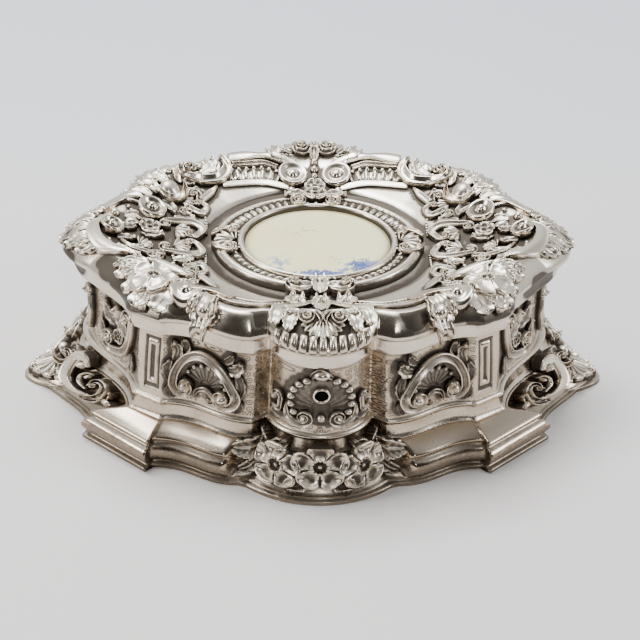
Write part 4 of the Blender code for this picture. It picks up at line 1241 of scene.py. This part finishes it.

# %% [markdown]
# ## Finishes
# Silver is a mirror, so it takes its colour from the room: the material only adds the
# black oxide left in the hollows, a painted reflection of the room, warm and darker, on
# steep faces and over the whole foot, painted black shade inside the keyhole, and the
# fine pits and scratches of a hundred years of polishing. Shader sums are written as
# Python sums through one small class.

# %% Shader arithmetic
class Socket:
    """Wraps a node socket so that + - * and abs add Math nodes."""

    def __init__(self, tree, socket):
        self.tree, self.socket = tree, socket

    def node(self, kind, settings=None, inputs=None, output=0):
        """Adds a node: its settings first, then the values or links of its sockets."""
        made = self.tree.nodes.new(kind)
        for name, value in (settings or {}).items():
            setattr(made, name, value)
        for key, value in (inputs or {}).items():
            if isinstance(value, Socket):
                self.tree.links.new(value.socket, made.inputs[key])
            else:
                made.inputs[key].default_value = value
        return Socket(self.tree, made.outputs[output])

    def math(self, operation, *values, clamp=False):
        """A Math node of that operation on the values."""
        return self.node("ShaderNodeMath", {"operation": operation, "use_clamp": clamp},
                         dict(enumerate(values)))

    def __add__(self, other):
        return self.math("ADD", self, other)

    def __radd__(self, other):
        return self.math("ADD", other, self)

    def __sub__(self, other):
        return self.math("SUBTRACT", self, other)

    def __rsub__(self, other):
        return self.math("SUBTRACT", other, self)

    def __mul__(self, other):
        return self.math("MULTIPLY", self, other)

    def __rmul__(self, other):
        return self.math("MULTIPLY", other, self)

    def __abs__(self):
        return self.math("ABSOLUTE", self)

    def clip(self):
        """Cut to 0 to 1."""
        return self.math("ADD", self, 0.0, clamp=True)

    def or_more(self, other):
        """The greater of this and another value."""
        return self.math("MAXIMUM", self, other)

    def between(self, low, high):
        """0 below low and 1 above high, with an S-curve between."""
        return self.node("ShaderNodeMapRange", {"interpolation_type": "SMOOTHSTEP"},
                         {0: self, 1: low, 2: high, 3: 0.0, 4: 1.0})

    def noise(self, scale, detail=3.0, rough=0.55):
        """Cloudy values of that scale, read at this vector."""
        return self.node("ShaderNodeTexNoise", None,
                         {"Vector": self, "Scale": scale, "Detail": detail, "Roughness": rough})

    def split(self):
        """The three parts of this vector."""
        first = self.node("ShaderNodeSeparateXYZ", None, {0: self})
        return [Socket(self.tree, output) for output in first.socket.node.outputs]

    def blend(self, first, second):
        """Colour from the first to the second as this value goes from 0 to 1."""
        return self.node("ShaderNodeMix", {"data_type": "RGBA"}, {0: self, 6: first, 7: second}, output=2)


def new_material(name):
    """An empty Principled material: its start for sums, its shader node and its tree."""
    made = bpy.data.materials.new(name)
    made.use_nodes = True
    tree = made.node_tree
    shader = tree.nodes["Principled BSDF"]
    place = Socket(tree, tree.nodes.new("ShaderNodeTexCoord").outputs["Object"])
    return made, tree, shader, place


print("shader sums are ready")

# %% Oxidised silver
BRIGHT = (0.82, 0.75, 0.645, 1)
# PAINTED_REFLECTION_TAN is a painted reflection: the warm, darker tone of the floor and room that steep faces
# mirror
PAINTED_REFLECTION_TAN = (0.47, 0.37, 0.265, 1)
OXIDE = (0.095, 0.082, 0.068, 1)
# PAINTED_SHADE_BLACK and KEYHOLE_SHADE paint black shade into the keyhole's bore, where light doesn't reach
PAINTED_SHADE_BLACK = (0.004, 0.004, 0.004, 1)
KEYHOLE_SHADE = 2.0
PANEL_FROM, PANEL_TO = 63.2, 73.8


def silver(name, roughness=0.2, steep_painted_reflection=0.5, base_painted_reflection=0.0, pits=0.25, work=None):
    """Bright silver with a painted reflection, warm and darker, on steep faces, and black
    oxide in the hollows. The work, if given, adds punched lines: a function of the place
    giving a mask; base_painted_reflection is that painted reflection on every face. Where the hollow
    reaches KEYHOLE_SHADE, the metal is painted black as shade inside the keyhole."""
    made, tree, shader, place = new_material(name)
    hollow = place.node("ShaderNodeAttribute", {"attribute_name": "hollow"}, output=2)
    facing = place.node("ShaderNodeNewGeometry", output=1)
    upright = facing.split()[2]
    cloud = place.noise(70.0, 4.0)
    speck = place.noise(800.0, 2.0)
    steep = 1 - upright.between(0.0, 0.97)
    # painted reflection: steep faces, and with base_painted_reflection every face, are painted warmer and
    # darker in place of the floor they mirror; the cloud varies it at random
    painted_reflection = (steep * (0.35 + cloud * 0.9) * steep_painted_reflection + (cloud - 0.5) * 0.3 + base_painted_reflection).clip()
    dark = (hollow + (cloud - 0.5) * 0.25 + (speck - 0.5) * 0.25).between(0.0, 0.72)
    surface = speck * 0.35 + place.noise(260.0, 3.0) * 0.65
    if work:
        lines = work(place)
        dark = dark.or_more(lines * 0.95)
        surface = surface - lines * 1.5
    colour = dark.blend(painted_reflection.blend(BRIGHT, PAINTED_REFLECTION_TAN), OXIDE)
    # past KEYHOLE_SHADE the hollow paints black shade inside the keyhole
    colour = hollow.between(1.1, 1.7).blend(colour, PAINTED_SHADE_BLACK)
    tree.links.new(colour.socket, shader.inputs["Base Color"])
    rough = roughness + upright.between(0.55, 0.95) * 0.16 + dark * 0.25
    rough = rough + (cloud - 0.5) * 0.14 + (speck - 0.5) * 0.06
    tree.links.new(rough.socket, shader.inputs["Roughness"])
    shader.inputs["Metallic"].default_value = 1.0
    bump = place.node("ShaderNodeBump", None, {"Strength": pits, "Distance": 0.0004, "Height": surface})
    tree.links.new(bump.socket, shader.inputs["Normal"])
    return made


def stripe(value, low, high, fade):
    """1 from low to high with faded ends, all in millimetres."""
    return value.between(low * MM, (low + fade) * MM) * (1 - value.between((high - fade) * MM, high * MM))


def punched_ground(place):
    """Ring punches scattered over the wall and a rope line under the lid: a ring is where
    the distance to the nearest of many scattered points has one value. The plain stripes
    at the corners carry no punches."""
    x, y, height = place.split()
    net = place.node("ShaderNodeCombineXYZ", None, {0: x + y, 1: height})
    near = place.node("ShaderNodeTexVoronoi", {"voronoi_dimensions": "2D"},
                      {"Vector": net, "Scale": 300.0, "Randomness": 0.6})
    ring = 1 - abs(near - 0.32).between(0.03, 0.09)
    dot = 1 - near.between(0.06, 0.13)
    fine = place.node("ShaderNodeTexVoronoi", None, {"Vector": place, "Scale": 1150.0, "Randomness": 0.8})
    stipple = 1 - fine.between(0.12, 0.30)
    on_wall = stripe(height, WALL_BOTTOM + 0.8, BODY_TOP - 1.8, 0.5)
    plain = stripe(abs(x), PANEL_FROM, PANEL_TO, 0.6)
    rope = stripe(height, BODY_TOP - 1.7, BODY_TOP - 0.3, 0.3) * (0.45 + stipple * 0.55)
    marks = (ring * 0.8).or_more(dot).or_more(stipple * 0.45)
    return (marks * on_wall * (1 - plain) + rope).clip()


polished = silver("polished silver", roughness=0.16, steep_painted_reflection=0.5, pits=0.10)
foot_silver = silver("foot silver", roughness=0.14, steep_painted_reflection=0.95, base_painted_reflection=0.50, pits=0.10)
chased = silver("chased silver", roughness=0.25, steep_painted_reflection=0.7, pits=0.08)
wall_silver = silver("punched silver", roughness=0.26, steep_painted_reflection=1.0, pits=0.35, work=punched_ground)
key_silver = silver("keyhole silver", roughness=0.2, steep_painted_reflection=0.3)
print("materials with the silvers:", len(bpy.data.materials))

# %% [markdown]
# ## The plaque's glaze
# The plaque is painted and glazed, and almost all of its painting is worn away: an ivory
# ground with a browner edge, a few hair cracks, and flaked blue along its lower side. A
# picture isn't needed for that. Each remnant is an oval patch whose edge is broken up by
# noise, and the cracks are the borders between scattered cells.

# %% Painted glaze
IVORY, CREAM = (1.0, 0.93, 0.52, 1), (1.0, 0.98, 0.62, 1)
STAIN, BLUE, SMEAR = (0.20, 0.15, 0.09, 1), (0.035, 0.10, 0.34, 1), (0.33, 0.41, 0.54, 1)


def patch_at(place, x, y, wide, tall):
    """1 at a spot on the plaque, falling to 0 at an oval's edge; sizes in millimetres."""
    centred = place.node("ShaderNodeMapping", {"vector_type": "TEXTURE"},
                         {0: place, 1: (x * MM, y * MM, (SEAT + PLAQUE_CROWN) * MM),
                          3: (wide * MM, tall * MM, 1.0)})
    length = place.node("ShaderNodeVectorMath", {"operation": "LENGTH"}, {0: centred}, output=1)
    return 1 - length.between(0.0, 1.0)


glaze, tree, shader, place = new_material("ivory glaze")
cloud = place.noise(40.0, 3.0)
flake = place.noise(330.0, 5.0, 0.7)
fine_flake = place.noise(900.0, 4.0, 0.7)
crack = place.node("ShaderNodeTexVoronoi", {"feature": "DISTANCE_TO_EDGE"}, {"Vector": place, "Scale": 150.0})
colour = cloud.between(0.3, 0.7).blend(IVORY, CREAM)
edge = 1 - patch_at(place, 0, 0, 34.5, 31.0).between(0.02, 0.13)
colour = (edge * 0.35).blend(colour, STAIN)
hairs = (1 - crack.between(0.004, 0.03)) * flake.between(0.44, 0.54)
near_cracks = patch_at(place, -5.5, 8.0, 14, 7) + patch_at(place, 5.0, -13.5, 6, 3) * 0.8
colour = (hairs * near_cracks * 1.3).clip().blend(colour, STAIN)
smear = patch_at(place, -17.0, -17.5, 8.0, 9.0)
colour = ((smear * 1.6).clip() * flake.between(0.45, 0.56)).blend(colour, SMEAR)
left_rest = patch_at(place, 0.5, -24.0, 22, 6.0)
right_rest = patch_at(place, 17.5, -17.5, 13.5, 8.5)
rest = (left_rest + right_rest).clip()
flaking = (flake - 0.5) * 3.4 + (fine_flake - 0.5) * 1.8
paint = (rest * 1.2 + flaking).between(0.60, 0.70) * rest.between(0.02, 0.2)
colour = paint.blend(colour, flake.between(0.45, 0.65).blend(BLUE, SMEAR))
tree.links.new(colour.socket, shader.inputs["Base Color"])
tree.links.new((0.26 + paint * 0.3).socket, shader.inputs["Roughness"])
bump = place.node("ShaderNodeBump", None,
                  {"Strength": 0.25, "Distance": 0.0002, "Height": paint - hairs * near_cracks})
tree.links.new(bump.socket, shader.inputs["Normal"])
shader.inputs["Coat Weight"].default_value = 0.25
print("materials with the glaze:", len(bpy.data.materials))

# %% [markdown]
# ## Putting it together
# Now each ground gets its raster of heights with everything that lies on it, each pile its
# tarnish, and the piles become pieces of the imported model, with the material slots and
# the plain solids that they stand in for.

# %% Pieces of the lid
skirt_view = Pile()
skirt_view.points, skirt_view.places = [lid_skin.grid.reshape(-1, 3)], [lid_skin.places().reshape(-1, 3)]
rim_relief = Relief([skirt_view, rim])
# the raster from above serves the lid down to its crest, and the skirt's own one below it
lid_relief = Relief([lid, scrolls, growth, rocaille])
lid_hollow = lid_relief.hollow(lid)
ring_of_point = np.repeat(np.arange(len(lid_all)), AROUND)
lid_hollow[:len(ring_of_point)] *= ring_of_point <= BORDER_ROWS + 4
on_skirt = rim_relief.hollow(skirt_view)
row_of_point = np.repeat(np.arange(len(lid_skin.grid)), AROUND)
before_skin = len(plain_field) * AROUND
lid_hollow[before_skin:before_skin + len(on_skirt)] += on_skirt * (row_of_point > BORDER_ROWS + 2)
make_piece("lid_sheet", lid, np.clip(lid_hollow, 0, 1), polished, ["lid"])
make_piece("lid_scrolls", scrolls, lid_relief.hollow(scrolls), polished)
make_piece("lid_flowers_and_leaves", growth, lid_relief.hollow(growth), chased)
make_piece("lid_rocailles", rocaille, lid_relief.hollow(rocaille), chased)
make_piece("lid_hanging_leaves", rim, rim_relief.hollow(rim), chased)

# %% Pieces of the box and the foot
castings = [*garlands.values(), *mounts.values()]
foot_relief = Relief(castings)
plinth_hollow = 0.4 * Relief([plinth]).hollow(plinth)
make_piece("foot_sheet", plinth, plinth_hollow, foot_silver, ["plinth"])
wall_relief = Relief([body, wall_work])
body_x, body_y, body_z = np.vstack(body.points).T
to_cartouche = np.hypot(body_x, 0.9 * (body_z - KEYHOLE_Z + 2.5))
wall_tarnish_and_keyhole_shade = np.maximum(0.65 * wall_relief.hollow(body), 0.8 * (1 - smooth(to_cartouche, 10.0, 12.0)))
# the sheet shows through the keyhole's bore and is painted black there as shade; the back has no keyhole
to_keyhole = np.hypot(body_x, body_z - KEYHOLE_Z)
wall_tarnish_and_keyhole_shade = np.maximum(wall_tarnish_and_keyhole_shade, KEYHOLE_SHADE * (body_y < 0) * (1 - smooth(to_keyhole, BORE, RING - 0.1)))
make_piece("wall_sheet", body, wall_tarnish_and_keyhole_shade, wall_silver, ["casket_body"])
# the low parts of the chasing are out of a cloth's reach
low_work = 1 - smooth(np.vstack(wall_work.places)[:, 2], 1.2, 2.5)
chasing_hollow = np.clip(wall_relief.hollow(wall_work) + 0.55 * low_work, 0, 1)
make_piece("wall_chasing", wall_work, chasing_hollow, chased)
key_x, key_y, key_z = np.vstack(keyhole.points).T
in_bore = np.hypot(key_x, key_z - KEYHOLE_Z) < BORE + 0.1
# deep in the bore the barrel is painted black as shade
keyhole_painted_shade = KEYHOLE_SHADE * in_bore * smooth(key_y, mouth + 0.4, mouth + 1.0)
make_piece("keyhole_ring", keyhole, keyhole_painted_shade, key_silver, ["keyhole_barrel"])
for name, pile in (*garlands.items(), *mounts.items()):
    make_piece(name + "_casting", pile, foot_relief.hollow(pile), chased, [name])

# %% Pieces of the medallion
medallion_relief = Relief([medallion], pitch=0.4)
make_piece("medallion_border", medallion, medallion_relief.hollow(medallion), chased,
           ["medallion_frame"])
make_piece("medallion_painting", plaque, np.zeros(plaque.count), glaze,
           ["medallion_plaque"])

# %% [markdown]
# ## Room
# A silver box shows its room, so the light is large and soft: one broad panel above and
# behind, weaker ones at the sides, and a darker front, which the leaning skirt mirrors.

# %% Floor
floor_mesh = bpy.data.meshes.new("floor")
floor_mesh.from_pydata([(x, y, 0) for x, y in ((-3, -3), (3, -3), (3, 5), (-3, 5))], [], [(0, 1, 2, 3)])
floor = bpy.data.objects.new("floor", floor_mesh)
bpy.context.scene.collection.objects.link(floor)
paper, tree, shader, place = new_material("pale paper")
# painted shade: behind the casket the paper is painted darker and bluer than in front
NEAR_PAPER, FAR_PAPER_PAINTED_SHADE = (0.82, 0.80, 0.795, 1), (0.67, 0.73, 0.80, 1)
far = place.split()[1].between(0.02, 0.36)
tree.links.new(far.blend(NEAR_PAPER, FAR_PAPER_PAINTED_SHADE).socket, shader.inputs["Base Color"])
shader.inputs["Roughness"].default_value = 0.75
floor_mesh.materials.append(paper)
print("floor is ready")

# %% The room that the silver mirrors
world = bpy.data.worlds.new("soft room")
bpy.context.scene.world = world
world.use_nodes = True
tree = world.node_tree
sky = Socket(tree, tree.nodes.new("ShaderNodeTexCoord").outputs["Generated"])
depth, height = sky.split()[1:]
WALL_BEHIND = (0.86, 0.865, 0.87, 1)
CEILING = (0.40, 0.39, 0.375, 1)
ROOM_IN_FRONT = (0.05, 0.046, 0.042, 1)
room = height.between(0.25, 0.95).blend(WALL_BEHIND, CEILING)
room = (0 - depth).between(-0.1, 0.6).blend(room, ROOM_IN_FRONT)
tree.links.new(room.socket, tree.nodes["Background"].inputs["Color"])
tree.nodes["Background"].inputs["Strength"].default_value = 1.0


def soft_light(name, place, aim, size, power, colour=(1, 1, 1)):
    """A square panel of light at a place, turned to its aim."""
    data = bpy.data.lights.new(name, "AREA")
    data.shape, data.size, data.size_y = "RECTANGLE", size[0], size[1]
    data.energy, data.color = power, colour
    panel = bpy.data.objects.new(name, data)
    bpy.context.scene.collection.objects.link(panel)
    panel.matrix_world = (Matrix.Translation(place)
                          @ (Vector(aim) - Vector(place)).to_track_quat("-Z", "Y").to_matrix().to_4x4())


HEART = (0, 0, 0.05)
soft_light("panel_above", (-0.22, 0.42, 1.25), HEART, (0.9, 0.6), 27.0)
soft_light("panel_left", (-1.3, -0.35, 0.75), HEART, (0.35, 0.8), 10.0, (1.0, 0.97, 0.93))
soft_light("panel_right", (1.3, -0.25, 0.65), HEART, (0.35, 0.8), 8.0, (0.97, 0.98, 1.0))
soft_light("panel_front", (0.15, -1.35, 1.05), HEART, (0.25, 0.35), 4.0)
print("panels of light:", len(bpy.data.lights))

# %% [markdown]
# ## Camera
# The view looks down on the casket from the front by about a third of a right angle, from
# far off with a long lens, so that the box keeps its shape. A slight roll is kept too.

# %% Camera
ELEVATION, AZIMUTH, ROLL = np.radians((33.563, -2.707, 1.9225))
AIM, DISTANCE, LENS = Vector((0.0013, -0.0159, 0.04)), 1.067, 143.04
back = Vector((np.sin(AZIMUTH) * np.cos(ELEVATION), -np.cos(AZIMUTH) * np.cos(ELEVATION), np.sin(ELEVATION)))
right = (-back).cross(Vector((0, 0, 1))).normalized()
up = right.cross(-back)
turned_right = right * np.cos(ROLL) + up * np.sin(ROLL)
turned_up = up * np.cos(ROLL) - right * np.sin(ROLL)
camera_data = bpy.data.cameras.new("camera")
camera_data.lens = LENS
camera = bpy.data.objects.new("camera", camera_data)
bpy.context.scene.collection.objects.link(camera)
axes = Matrix((turned_right, turned_up, back)).transposed().to_4x4()
camera.matrix_world = Matrix.Translation(AIM + back * DISTANCE) @ axes
bpy.context.scene.camera = camera
print("camera stands", DISTANCE, "m off with a lens of", LENS, "mm")
